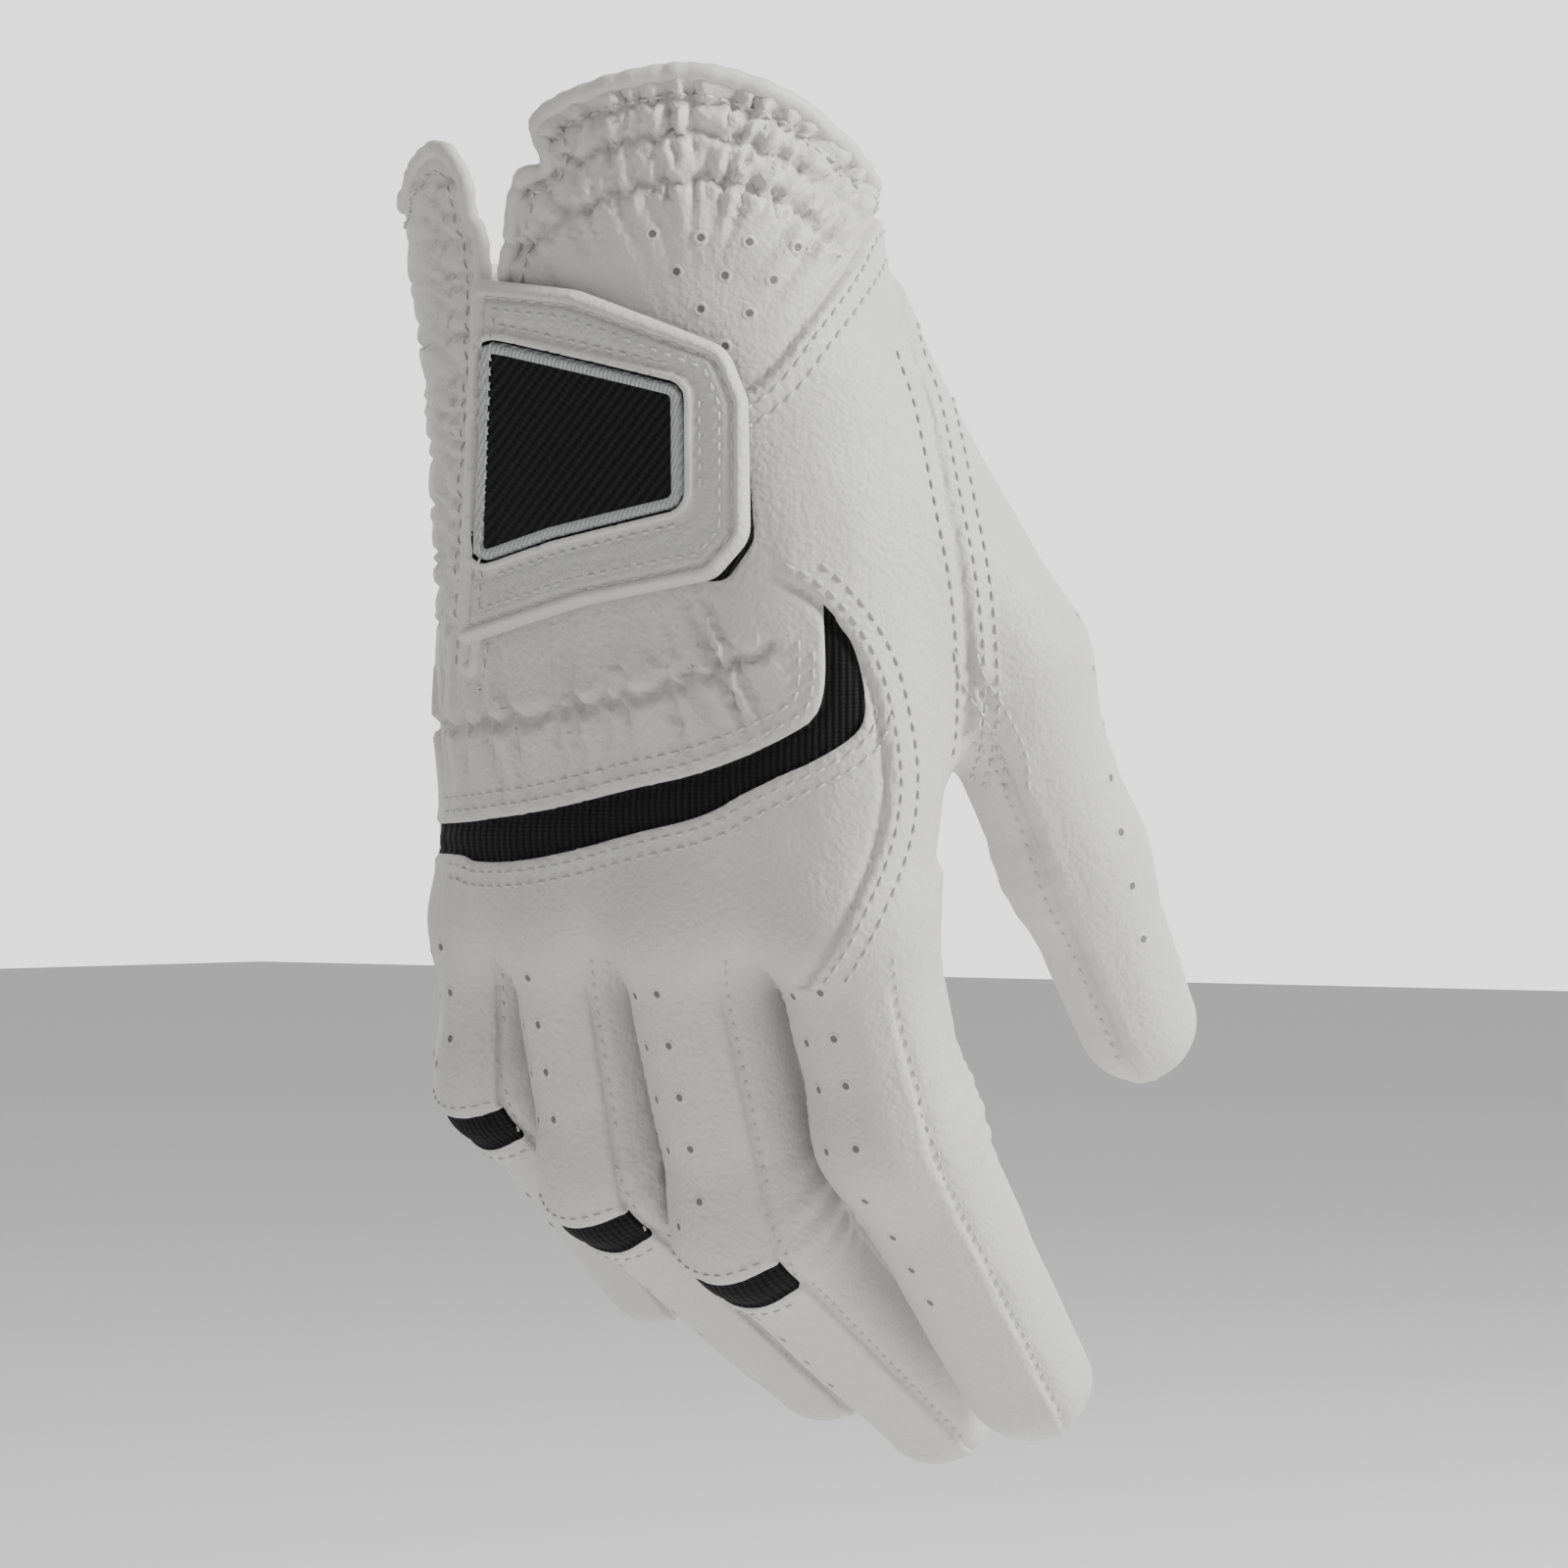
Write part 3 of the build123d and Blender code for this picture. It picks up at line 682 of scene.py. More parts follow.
verts, quads = surface_net()
tris = np.vstack([quads[:, [0, 1, 2]], quads[:, [0, 2, 3]]])
if vertex_normals(verts, tris)[:50].ravel() @ gradient(verts[:50]).ravel() < 0:
    tris = tris[:, ::-1].copy()

stall_names = list(STALLS)
length0 = {n: np.linalg.norm(np.array(s[1]) - np.array(s[0])) for n, s in STALLS.items()}
lines = {
    "diagonal": smooth_line(DIAGONAL), "below_tab": smooth_line(SEAM_BELOW_TAB),
    "flex_upper": smooth_line(FLEX_UPPER), "flex_lower": smooth_line(FLEX_LOWER),
    "thumb_seam": smooth_line(THUMB_SEAM), "gusset": smooth_line(GUSSET_SEAM),
    "cuff": smooth_line([(-60, 3.0), *CUFF_TOP, (60, 1.0)]),
    "flap": smooth_line([(-60, -4.0), *FLAP_TOP, (0, -6.0)]),
}
slit = np.vstack([smooth_line(SLIT_THUMB_SIDE), smooth_line(SLIT_LITTLE_SIDE)])


def edge_of_back(p):
    """How far towards the back a point is from the side seams."""
    return np.where(p[:, 0] < 0, 2 + 0.2 * p[:, 0], 2 + 0.667 * p[:, 0]) - p[:, 1]


def all_fields(p):
    uv = to_pattern(p)
    label, along, turn = measure(p)
    out = {name: side_of(line, uv) for name, line in lines.items()}
    # walking right along the cuff, the flap and the flex lines leaves the wrist side on the left
    out["back"] = edge_of_back(p)
    out["slit"] = inside_of(slit, uv)
    out["palm_cuff"] = uv[:, 1] - (PALM_CUFF_LEFT + (uv[:, 0] + 60) / 120
                                   * (PALM_CUFF_RIGHT - PALM_CUFF_LEFT))
    out["flap_foot"] = uv[:, 1] - FLAP_FOOT
    out["root"] = np.where(label >= 0, along, -9.0)
    reach = np.array([length0[n] for n in stall_names] + [99.0])[label]
    radius = np.array([STALLS[n][3][1] for n in stall_names] + [9.0])[label]
    out["middle"] = np.where(label >= 0, along - 0.55 * reach, -9.0)
    smile = reach + 1.2 + radius * 0.26 * np.cos(np.radians(np.clip(turn, -90, 90)))
    stripped = np.isin(label, [stall_names.index(n) for n in STRIPPED])
    out["strip"] = np.where(stripped, 2.1 - np.abs(along - smile), -9.0)
    out["strip_mid"] = np.where(stripped, along - smile, -9.0)
    is_thumb = label == stall_names.index("thumb")
    half = np.where(is_thumb, THUMB_SEAM_TURN, FINGER_SEAM_TURN)
    out["fourchette"] = np.where(label >= 0, (half - np.abs(turn)) * MM_A_DEGREE, 9.0)
    out["finger_palm"] = np.where((label >= 0) & ~is_thumb,
                                  (np.abs(turn) - PALM_SEAM_TURN) * MM_A_DEGREE, -9.0)
    return out


fields = all_fields(verts)
for key in ("back", "diagonal", "below_tab", "flex_upper", "flex_lower", "thumb_seam", "gusset",
            "cuff", "flap", "slit", "palm_cuff", "flap_foot", "root", "middle", "strip",
            "fourchette", "finger_palm"):
    verts, tris = cut(verts, tris, fields, key)

centre = {key: value[tris].mean(1) for key, value in fields.items()}
middles = verts[tris].mean(1)
label, along, turn = measure(middles)
uv_mid = to_pattern(middles)
back = centre["back"] > 0
above_flap = (centre["flap"] < 0) & (uv_mid[:, 0] < -19)
above_cuff = (centre["cuff"] < 0) & (uv_mid[:, 0] >= -19)
gone = (back & (above_flap | above_cuff | (centre["slit"] > 0))) | (~back
                                                                 & (centre["palm_cuff"] > 0))
tris, label, along, turn, back, uv_mid = (a[~gone] for a in
                                          (tris, label, along, turn, back, uv_mid))
centre = {key: value[~gone] for key, value in centre.items()}

on_stall = (label >= 0) & (centre["root"] > 0)
panel = np.full(len(tris), "palm_panel", dtype=object)
u_mid, z_mid = uv_mid[:, 0], uv_mid[:, 1]
body_back = back & ~on_stall
flap_area = body_back & (z_mid > FLAP_FOOT) & (u_mid < -19.0 + (z_mid + 10) * 0.11)
left_of_slit = flap_area & (side_of(smooth_line(SLIT_LITTLE_SIDE), uv_mid) < 0)
thumb_zone = body_back & (centre["thumb_seam"] < 0) & (u_mid > 25)
cuff_zone = body_back & (centre["diagonal"] > 0)
knuckle_zone = body_back & (centre["below_tab"] > 0)
panel[body_back] = "thumb_side_back_panel"
panel[cuff_zone] = "cuff_back_panel"
upper, lower = centre["flex_upper"] > 0, centre["flex_lower"] > 0
panel[knuckle_zone] = "knuckle_panel"
panel[knuckle_zone & upper & ~lower] = "knuckle_flex_insert"
panel[knuckle_zone & lower] = "finger_root_panel"
panel[flap_area & left_of_slit] = "cuff_side_panel"
panel[thumb_zone] = "thumb_root_panel"
panel[thumb_zone & (centre["gusset"] > 0) & (z_mid < -56)] = "thumb_gusset"

for number, name in enumerate(stall_names):
    mine = on_stall & (label == number)
    tip = mine & (centre["middle"] > 0)
    base = mine & ~tip
    for region, prefix in ((base, name), (tip, name + "_tip")):
        panel[region] = prefix + "_sides"
        panel[region & (centre["fourchette"] > 0)] = prefix + "_back"
        if name == "thumb":
            panel[region & (centre["fourchette"] <= 0)] = prefix + "_palm"
        else:
            panel[region & (centre["finger_palm"] > 0)] = prefix + "_palm"
    if name in STRIPPED:
        panel[mine & (centre["strip"] > 0) & (centre["fourchette"] > 0)] = name + "_flex_strip"


# ---- relief: laps, gathers, creases --------------------------------------------------------------
uv_all = to_pattern(verts)
v_label, v_along, v_turn = measure(verts)
on_hand = ~((v_label >= 0) & (fields["root"] > 0))
facing = gradient(verts)


def lap(field, where, high=0.5, low=0.45, reach=3.0):
    """One panel laid over another: positive is the panel on top."""
    f = np.where(np.abs(field) > 30, 30, field)
    raised = high * np.exp(-(np.maximum(f, 0) / reach)**2)
    sunk = -low * np.exp(-(np.maximum(-f, 0) / 1.1)**2)
    over = ease((f + 0.35) / 0.7)
    return (raised * over + sunk * (1 - over)) * where


def groove(field, where, deep=0.55, width=0.8, puff=0.25):
    """An inseam: both panels turn in at it."""
    f = np.abs(field)
    return (-deep * np.exp(-(f / width)**2) + puff * np.exp(-((f - 2.2) / 1.4)**2)) * where


def gathers(line, uv, where, pitch, height, reach, pinch=0.8, seed=0.0, step=0.0):
    """Leather drawn up on an elastic: a pinched row with ripples across it."""
    fine = smooth_line(line, 0.6)
    distance = side_of(fine, uv)
    run = np.concatenate([[0], np.cumsum(np.linalg.norm(np.diff(fine, axis=0), axis=1))])
    nearest = np.empty(len(uv))
    for start in range(0, len(uv), 20000):
        part = uv[start:start + 20000]
        d = ((part[:, None] - fine[None])**2).sum(2)
        nearest[start:start + 20000] = run[d.argmin(1)]
    wander = 0.9 * np.sin(nearest * 0.37 + seed) + 0.6 * np.sin(nearest * 0.83 + 2 * seed)
    lean = 0.12 * distance * np.sin(nearest * 0.21 + seed)
    phase = 2 * math.pi * ((nearest + wander + lean) / pitch + step)
    size = 1 + 0.35 * np.sin(nearest * 0.61 + 3 * seed)
    ripple = (2 * np.abs(np.cos(phase / 2))**0.6 - 1.1) * size
    fade = np.exp(-(np.abs(distance) / reach)**1.5)
    row = np.exp(-((distance - 0.7 * np.cos(phase)) / 0.8)**2)
    return (height * ripple * fade * (1 - 0.6 * row) - pinch * row) * where


w_hand_back = ease((fields["back"] + 1) / 3) * on_hand
w_cuff = w_hand_back * ease(fields["diagonal"] / 2) * (uv_all[:, 0] > -19)
w_knuckle = w_hand_back * ease(fields["below_tab"] / 2)
w_flap = w_hand_back * (uv_all[:, 0] < -20) * ease((uv_all[:, 1] - FLAP_FOOT) / 3)
move = np.zeros(len(verts))
move += lap(-fields["diagonal"], w_hand_back * (uv_all[:, 0] > 0) * (uv_all[:, 0] < 38), 0.8, 0.8)
move += lap(-fields["below_tab"], w_hand_back * ease((uv_all[:, 0] - 16) / 4)
            * ease((-44 - uv_all[:, 1]) / 4), 0.6, 0.6)
move += lap(-fields["flex_upper"], w_knuckle, 0.45, 0.5, 2.0)
move += lap(fields["flex_lower"], w_knuckle, 0.45, 0.5, 2.0)
move += lap(-fields["thumb_seam"], w_hand_back * ease((uv_all[:, 0] - 26) / 4), 0.6, 0.3, 2.4)
move += groove(fields["gusset"], w_hand_back * (fields["thumb_seam"] < 0)
               * ease((-56 - uv_all[:, 1]) / 5), 0.5)
move += groove(fields["back"], on_hand * ease((10 - uv_all[:, 1]) / 5), 0.6, 0.9, 0.2)
stall_zone = ((v_label >= 0) & (v_along > 3)) * ease((v_along - 3) / 8)
is_thumb = v_label == stall_names.index("thumb")
half = np.where(is_thumb, THUMB_SEAM_TURN, FINGER_SEAM_TURN)
radial = (half - np.abs(v_turn)) * MM_A_DEGREE
move += np.where(is_thumb, groove(radial, stall_zone, 0.85, 0.7, 0.3),
                 lap(radial, stall_zone, 0.42, 0.5, 1.3))
palm_side = (PALM_SEAM_TURN - np.abs(v_turn)) * MM_A_DEGREE
move += np.where(~is_thumb, groove(palm_side, stall_zone, 0.45), 0)
strip_on = (fields["strip"] > -8) * (fields["fourchette"] > -0.5)
move += lap(-fields["strip"], strip_on * 1.0, 0.4, 0.45, 1.6)

for number, row in enumerate(SHIRR_ROWS):
    move += gathers(row, uv_all, w_cuff, 3.5, 1.05, 3.4, 1.2, seed=0.4, step=0.5 * number)
puff_zone = ease((uv_all[:, 1] + 10 + 0.35 * np.abs(uv_all[:, 0] - 4.7)) / 6) * w_cuff
move += 0.55 * puff_zone
move += gathers(SHIRR_ROWS[-1], uv_all, w_cuff
                * (uv_all[:, 1] < 2), 4.6, 0.7, 7.0, 0.0, 2.0)
gather_on = w_knuckle * (fields["flex_upper"] < 0) * ease(-fields["flex_upper"] / 3)
move += gathers(KNUCKLE_GATHER, uv_all, gather_on, 4.0, 1.3, 7.0, 1.3, 0.7)
move += gathers([(-29.0, 4.0), (-28.2, -10.0), (-27.6, -30.0), (-28.6, -56.0)], uv_all,
                w_flap, 3.4, 0.7, 5.0, 0.8, 0.4)

# Creases across each stall, strongest at the middle joint's sides and palm.
reach = np.array([length0[n] for n in stall_names] + [99.0])[v_label]
bend = np.exp(-((v_along - reach) / 9.0)**2) * stall_zone
side_weight = ease((np.abs(v_turn) - 40) / 60)
crease = np.where(is_thumb, -0.1, -0.3) * bend * side_weight
move += crease * np.cos(2 * math.pi * (v_along - reach) / CREASE_PITCH
                                            + 0.02 * v_turn)
for index in range(len(verts)):
    x, y, z = verts[index] * 0.06
    broad = 0.38 * noise.noise((x, y, z * 0.8))
    move[index] += broad + 0.16 * noise.noise((x * 3.1, y * 3.1, z * 2.2))
skin = verts + facing * move[:, None]
normals = vertex_normals(skin, tris)

# The pattern each cloth texture follows: across and along, in the panel's own directions.
across_stall = np.radians(v_turn) * 9.5
skin_uv = np.where(((v_label >= 0) & (v_along > -3))[:, None],
                   np.stack([across_stall, v_along], 1), uv_all)

record_slots = {s["node"]: s["material_slot"] for s in frame["record"]["subparts"]}
looks = {"white_leather": WHITE, "palm_leather": PALM, "black_stretch": STRETCH}
BLEND_FROM = 3.2


def attach(obj, stall=None, part="base"):
    """Hangs a piece on the hand; a piece on a stall only has its transform baked into its points.
    """
    if stall is None:
        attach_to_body(obj, "hand")
        return
    root, joint, tip = (np.array(v) for v in STALLS[stall][:3])
    down = (joint - root) / np.linalg.norm(joint - root)
    if part == "tip":
        path = down + (tip - joint) / np.linalg.norm(tip - joint)
        path /= np.linalg.norm(path)
        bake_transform(obj)
    else:
        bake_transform(obj)


for name in sorted(set(panel)):
    group = tris[panel == name]
    if len(group) < 8:
        print("small panel", name, len(group))
    slot_name = record_slots.get(name, "white_leather")
    obj = make_piece("skin_" + name, skin, group, looks[slot_name], normals, skin_uv)
    stall = name.split("_")[0]
    if stall in STALLS and not name.startswith(("thumb_side", "thumb_root", "thumb_gusset")):
        beyond = "_tip_" in name or name.endswith("_flex_strip")
        attach(obj, stall, "tip" if beyond else "base")
    else:
        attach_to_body(obj, "hand")
    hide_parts(name)
    if name in ("thumb_back", "thumb_tip_back"):
        # The thumb's back panel wraps round both of its sides.
        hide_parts(name.replace("_back", "_sides"))


# ---- lining, bindings and elastics ---------------------------------------------------------------
lined = tris[~on_stall]
lining = make_piece("inner_lining", skin - facing * 1.1, lined[:, ::-1], LINED, -normals, skin_uv)
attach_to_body(lining, "hand")

directed = np.vstack([tris[:, [0, 1]], tris[:, [1, 2]], tris[:, [2, 0]]])
codes = directed[:, 0].astype(np.int64) * len(skin) + directed[:, 1]
back_codes = directed[:, 1].astype(np.int64) * len(skin) + directed[:, 0]
open_edges = directed[~np.isin(codes, back_codes)]
follow = {int(a): int(b) for a, b in open_edges}
loops = []
while follow:
    start, here = next(iter(follow.items()))
    loop = [start]
    del follow[start]
    while here in follow:
        loop.append(here)
        here = follow.pop(here)
    loops.append(loop)
loops.sort(key=len, reverse=True)
rim = np.array(loops[0])


def soften(points, rounds):
    """A closed line of points, each drawn towards its neighbours."""
    for _ in range(rounds):
        mean = (np.roll(points, 1, 0) + np.roll(points, -1, 0)) / 2
        points = points * 0.5 + mean * 0.5
    return points


rim_p = soften(skin[rim], 10)
rim_n = soften(facing[rim], 10)
rim_p, rim_n = resample(np.vstack([rim_p, rim_p[:1]]), 0.7, np.vstack([rim_n, rim_n[:1]]))
rim_p, rim_n = rim_p[:-1], rim_n[:-1]
rim_n /= np.linalg.norm(rim_n, axis=1, keepdims=True)
rim_t = np.roll(rim_p, -1, 0) - np.roll(rim_p, 1, 0)
rim_t /= np.linalg.norm(rim_t, axis=1, keepdims=True)
rim_in = np.cross(rim_n, rim_t)
run = np.arange(len(rim_p)) * 0.7
pucker = 1 + 0.07 * np.cos(2 * math.pi * (run + 0.8 * np.sin(run * 0.3)) / 3.1)
rim_uv = to_pattern(rim_p)
on_slit = (rim_uv[:, 1] < 6.5) & (rim_uv[:, 0] < -14.0) & (edge_of_back(rim_p) > 0) \
    & (inside_of(slit, rim_uv) > -1.2)
roll_v, roll_t = tube(rim_p - rim_n * 0.35, 1.28 * pucker, rim_n, closed=True, sides=12, flat=0.9)
ring_of = roll_t[:, 0] // 12
for node_name, chosen in (("cuff_binding", ~on_slit[ring_of]), ("slit_binding", on_slit[ring_of])):
    roll = make_piece("roll_" + node_name, roll_v, roll_t[chosen], BOUND,
                      vertex_normals(roll_v, roll_t))
    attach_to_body(roll, "hand")
    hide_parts(node_name)

tree = BVHTree.FromPolygons(skin.tolist(), tris.tolist())


def drop(points, directions):
    """Where rays meet the skin, with its smooth normal there. Rays that miss are left out."""
    found, ups = [], []
    for p, d in zip(points, directions):
        hit, normal, face, _ = tree.ray_cast(Vector(p), Vector(d))
        if hit is None:
            continue
        n = normals[tris[face]].mean(0)
        if -(n @ d) < 0.02:
            continue
        found.append(list(hit))
        ups.append(n / np.linalg.norm(n))
    return np.array(found).reshape(-1, 3), np.array(ups).reshape(-1, 3)


def from_pattern(uv):
    """Drops points of the pattern plane on the near side of the skin."""
    start = uv[:, :1] * ACROSS + uv[:, 1:] * np.array([0, 0, 1.0]) + 70 * OUTWARD
    return drop(start, np.tile(-OUTWARD, (len(uv), 1)))


def runs(points, normals_in, gap=2.5):
    """Splits a line of points where it jumps."""
    if len(points) < 2:
        return []
    jumps = np.flatnonzero(np.linalg.norm(np.diff(points, axis=0), axis=1) > gap) + 1
    return [(p, n) for p, n in zip(np.split(points, jumps), np.split(normals_in, jumps))
            if len(p) > 3]


def pattern_row(line, offset, keep, **options):
    """Stitches beside a line of the pattern, at an offset to its right, where keep says so."""
    t = np.gradient(line, axis=0)
    t /= np.maximum(np.linalg.norm(t, axis=1, keepdims=True), 1e-9)
    moved = line + np.stack([t[:, 1], -t[:, 0]], 1) * offset
    moved = moved[keep(moved[:, 0], moved[:, 1])]
    parts = []
    for p, n in runs(*from_pattern(resample(moved, 0.5) if len(moved) > 1 else moved)):
        parts += stitches(p, n, **options)
    return parts


hand_threads = []
for offset in (-1.7, -3.9):
    hand_threads += pattern_row(lines["diagonal"], offset,
                                lambda u, z: (u > 6) & (u < 33.5) & (z < 3))
    hand_threads += pattern_row(lines["below_tab"], offset,
                                lambda u, z: (u > 12) & (z < -49) & (z > -106))
for offset in (-1.5, -3.4):
    hand_threads += pattern_row(lines["flex_upper"], offset, lambda u, z: (u > -29.5) & (z < -58))
    hand_threads += pattern_row(lines["flex_lower"], -offset,
                                lambda u, z: (u > -29.5) & (z < -66))
for offset in (-1.6, -3.4):
    hand_threads += pattern_row(lines["thumb_seam"], offset, lambda u, z: (z < -16) & (z > -79))
hand_threads += pattern_row(lines["thumb_seam"], 2.0, lambda u, z: (z < -20) & (z > -76))
for offset in (-1.5, 1.5):
    hand_threads += pattern_row(lines["gusset"], offset, lambda u, z: (z < -60) & (z > -80))
edge_rows = rim_p + rim_in * 3.1 + rim_n * 8.0
edge_p, edge_n = [], []
for p, n, uv in zip(edge_rows, rim_n, rim_uv):
    hit, normal, face, _ = tree.ray_cast(Vector(p), Vector(-n), 16.0)
    if hit is not None:
        edge_p.append(list(hit))
        edge_n.append(n)
for p, n in runs(np.array(edge_p), np.array(edge_n)):
    hand_threads += stitches(p, n)
# A row that runs on past a knuckle goes with the stall it is sewn to.
thread_label, thread_along, _ = measure(np.array([v.mean(0) for v, _ in hand_threads]))
thread_label[thread_along <= BLEND_FROM] = -1
for number in np.unique(thread_label):
    stall = stall_names[number] if number >= 0 else None
    sewn = [t for t, n in zip(hand_threads, thread_label) if n == number]
    threads = make_piece(f"{stall or 'hand'}_seam_stitching", *join(sewn), THREAD)
    attach(threads, stall)

# Elastics lie on the inside of the gathered rows and show inside the cuff.
for node_name, rows in (("cuff_elastic", SHIRR_ROWS), ("knuckle_elastic", [KNUCKLE_GATHER]),
                        ("side_cuff_elastic", [[(-29.0, 3.0), (-28.2, -10.0), (-27.6, -30.0),
                                                (-28.6, -50.0)]])):
    parts = []
    for row in rows:
        line = smooth_line(row, 0.6)
        line = line[(line[:, 0] > -31)]
        for p, n in runs(*from_pattern(line)):
            parts.append(tube(p - n * 1.7, 1.5, n, sides=8, flat=0.28))
    band = make_piece("band_" + node_name, *join(parts), ELASTIC)
    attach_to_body(band, "hand")
    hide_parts(node_name)


# ---- perforations and the stalls' stitching ------------------------------------------------------
def eyelets(points, ups):
    """Punched perforations: a soft raised rim, and a dark disc inside each, painted shade in the
    opening.
    """
    rims, hole_shade_discs = [], []
    sides = 14
    angle = np.arange(sides) * 2 * math.pi / sides
    for p, n in zip(points, ups):
        x = np.cross(n, [0.3, 0.2, 0.9])
        x /= np.linalg.norm(x)
        y = np.cross(n, x)
        ring = np.cos(angle)[:, None] * x + np.sin(angle)[:, None] * y
        layers = [p + ring * r + n * h for r, h in ((1.15, -0.1), (0.85, 0.1), (0.62, 0.12),
                                                    (0.5, 0.02))]
        v = np.vstack(layers)
        t = []
        for k in range(len(layers) - 1):
            for i in range(sides):
                j = (i + 1) % sides
                a, b, c, d = k * sides + i, k * sides + j, (k + 1) * sides + j, (k + 1) * sides + i
                t += [(a, b, c), (a, c, d)]
        rims.append((v, np.array(t)))
        # A dark disc over the opening: painted shade, not a real opening.
        disc = np.vstack([p + n * 0.03, p + ring * 0.52 + n * 0.05])
        hole_shade_discs.append((disc, np.array([(0, 1 + i, 1 + (i + 1) % sides) for i in range(sides)])))
    return join(rims), join(hole_shade_discs)


def place_eyelets(tag, points, ups, stall=None, part="base"):
    if not len(points):
        return
    rims, hole_shade_discs = eyelets(points, ups)
    for kind, mesh, look in (("rims", rims, WHITE), ("hole_shade_discs", hole_shade_discs, HOLE_SHADE)):
        obj = make_piece(f"perforation_{kind}_{tag}", *mesh, look)
        attach(obj, stall, part)


def on_stall_surface(name, s, degrees):
    """Points on a stall's skin at lengths along it and turns round it."""
    root, joint, tip, radii, twist = STALLS[name]
    back_dir = THUMB_BACK if name == "thumb" else FINGER_BACK
    starts, dirs = [], []
    for length, turned in zip(s, degrees):
        first = axis_frame(root, joint, back_dir)
        second = axis_frame(joint, tip, back_dir)
        a = math.radians(turned + twist)
        if abs(length - first[4]) < 6:
            way = first[1] + second[1]
            halved = axis_frame(joint, np.array(joint) + way, back_dir)
            z, x, y = halved[1], halved[2], halved[3]
            base = halved[0] + z * (length - first[4])
        elif length < first[4]:
            origin, z, x, y = first[0], first[1], first[2], first[3]
            base = origin + z * length
        else:
            origin, z, x, y = second[0], second[1], second[2], second[3]
            base = origin + z * (length - first[4])
        radial = x * math.cos(a) - y * math.sin(a)
        thick = np.interp(length, [0, first[4], first[4] + second[4]], radii)
        starts.append(base + radial * (thick + 2.6))
        dirs.append(-radial)
    return drop(starts, dirs)


cuff_holes = [(0.6 + 3.2 * r + 6.4 * k, -5.4 - 5.0 * r - 0.6 * k) for r in range(4)
              for k in range(4 - r)]
place_eyelets("cuff", *from_pattern(np.array(cuff_holes)))
thumb_line = smooth_line([(50.0, -42.5), (56.5, -53.5), (60.3, -66.4), (62.4, -79.9),
                          (65.2, -93.0), (66.6, -99.0)])
thumb_points = resample(thumb_line, 6.9)
high_up = thumb_points[:, 1] > -64
place_eyelets("thumb_root", *from_pattern(thumb_points[high_up]))
lower_down = thumb_points[:, 1] < -92
place_eyelets("thumb", *from_pattern(thumb_points[~high_up & ~lower_down]), "thumb")
place_eyelets("thumb_tip", *from_pattern(thumb_points[lower_down]), "thumb", "tip")
hole_plan = {"index": (4.0, 6.8), "middle": (5.0, 7.4), "ring": (4.0, 6.7), "little": (2.0, 6.4)}
for name, (first, pitch) in hole_plan.items():
    total = length0[name]
    stop = total - 6.0 if name in STRIPPED else total - 3.0
    s = np.arange(first, stop, pitch)
    both = np.concatenate([s, s + 0.8])
    turns = np.concatenate([np.full(len(s), 2.0), np.full(len(s), -26.0)])
    lower = both > 0.55 * total
    for part, chosen in (("base", ~lower), ("tip", lower)):
        place_eyelets(f"{name}_{part}", *on_stall_surface(name, both[chosen], turns[chosen]),
                      name, part)
    past_joint = total + (10.0 if name in STRIPPED else 5.0)
    s = past_joint + np.arange(0, 4 if name != "little" else 3) * 6.2
    place_eyelets(f"{name}_end", *on_stall_surface(name, s, np.full(len(s), -8.0)), name, "tip")

for name in STALLS:
    twist = STALLS[name][4]
    total = length0[name]
    end = total + np.linalg.norm(np.array(STALLS[name][2]) - np.array(STALLS[name][1])) + 3
    parts = {"base": [], "tip": []}
    for part, low, high in (("base", 1.0, 0.55 * total), ("tip", 0.55 * total, end)):
        s = np.arange(low, high, 0.6)
        for turned in ((-56, 56) if name != "thumb" else (-112, 112)):
            for p, n in runs(*on_stall_surface(name, s, np.full(len(s), float(turned)))):
                parts[part] += stitches(p, n, pitch=2.0, radius=0.17, fill=0.6)
    if name in STRIPPED:
        radius = STALLS[name][3][1]
        turns = np.arange(-46.0, 46.1, 3.0)
        for offset in (-3.5, 3.5):
            s = total + 1.2 + radius * 0.26 * np.cos(np.radians(turns)) + offset
            for p, n in runs(*on_stall_surface(name, s, turns)):
                parts["tip"] += stitches(p, n, pitch=2.0, radius=0.2)
    for part, made in parts.items():
        if made:
            row = make_piece(f"{name}_{part}_stitching", *join(made), THREAD)
            attach(row, name, part)


# ---- the closure tab -----------------------------------------------------------------------------
def ground(uv, lift=4.0):
    """The hand's surface and its normal, under points that lie lift above it and show at uv."""
    start = uv[:, :1] * ACROSS + uv[:, 1:] * np.array([0, 0, 1.0])
    low, high = np.full(len(uv), 4.0), np.full(len(uv), 60.0)
    for _ in range(26):
        middle = (low + high) / 2
        outside = hand_tube(start + middle[:, None] * OUTWARD) > lift
        high = np.where(outside, middle, high)
        low = np.where(outside, low, middle)
    p = start + high[:, None] * OUTWARD
    n = np.stack([hand_tube(p + 0.4 * e) - hand_tube(p - 0.4 * e) for e in np.eye(3)], 1)
    n /= np.linalg.norm(n, axis=1, keepdims=True)
    return p - n * hand_tube(p)[:, None], n


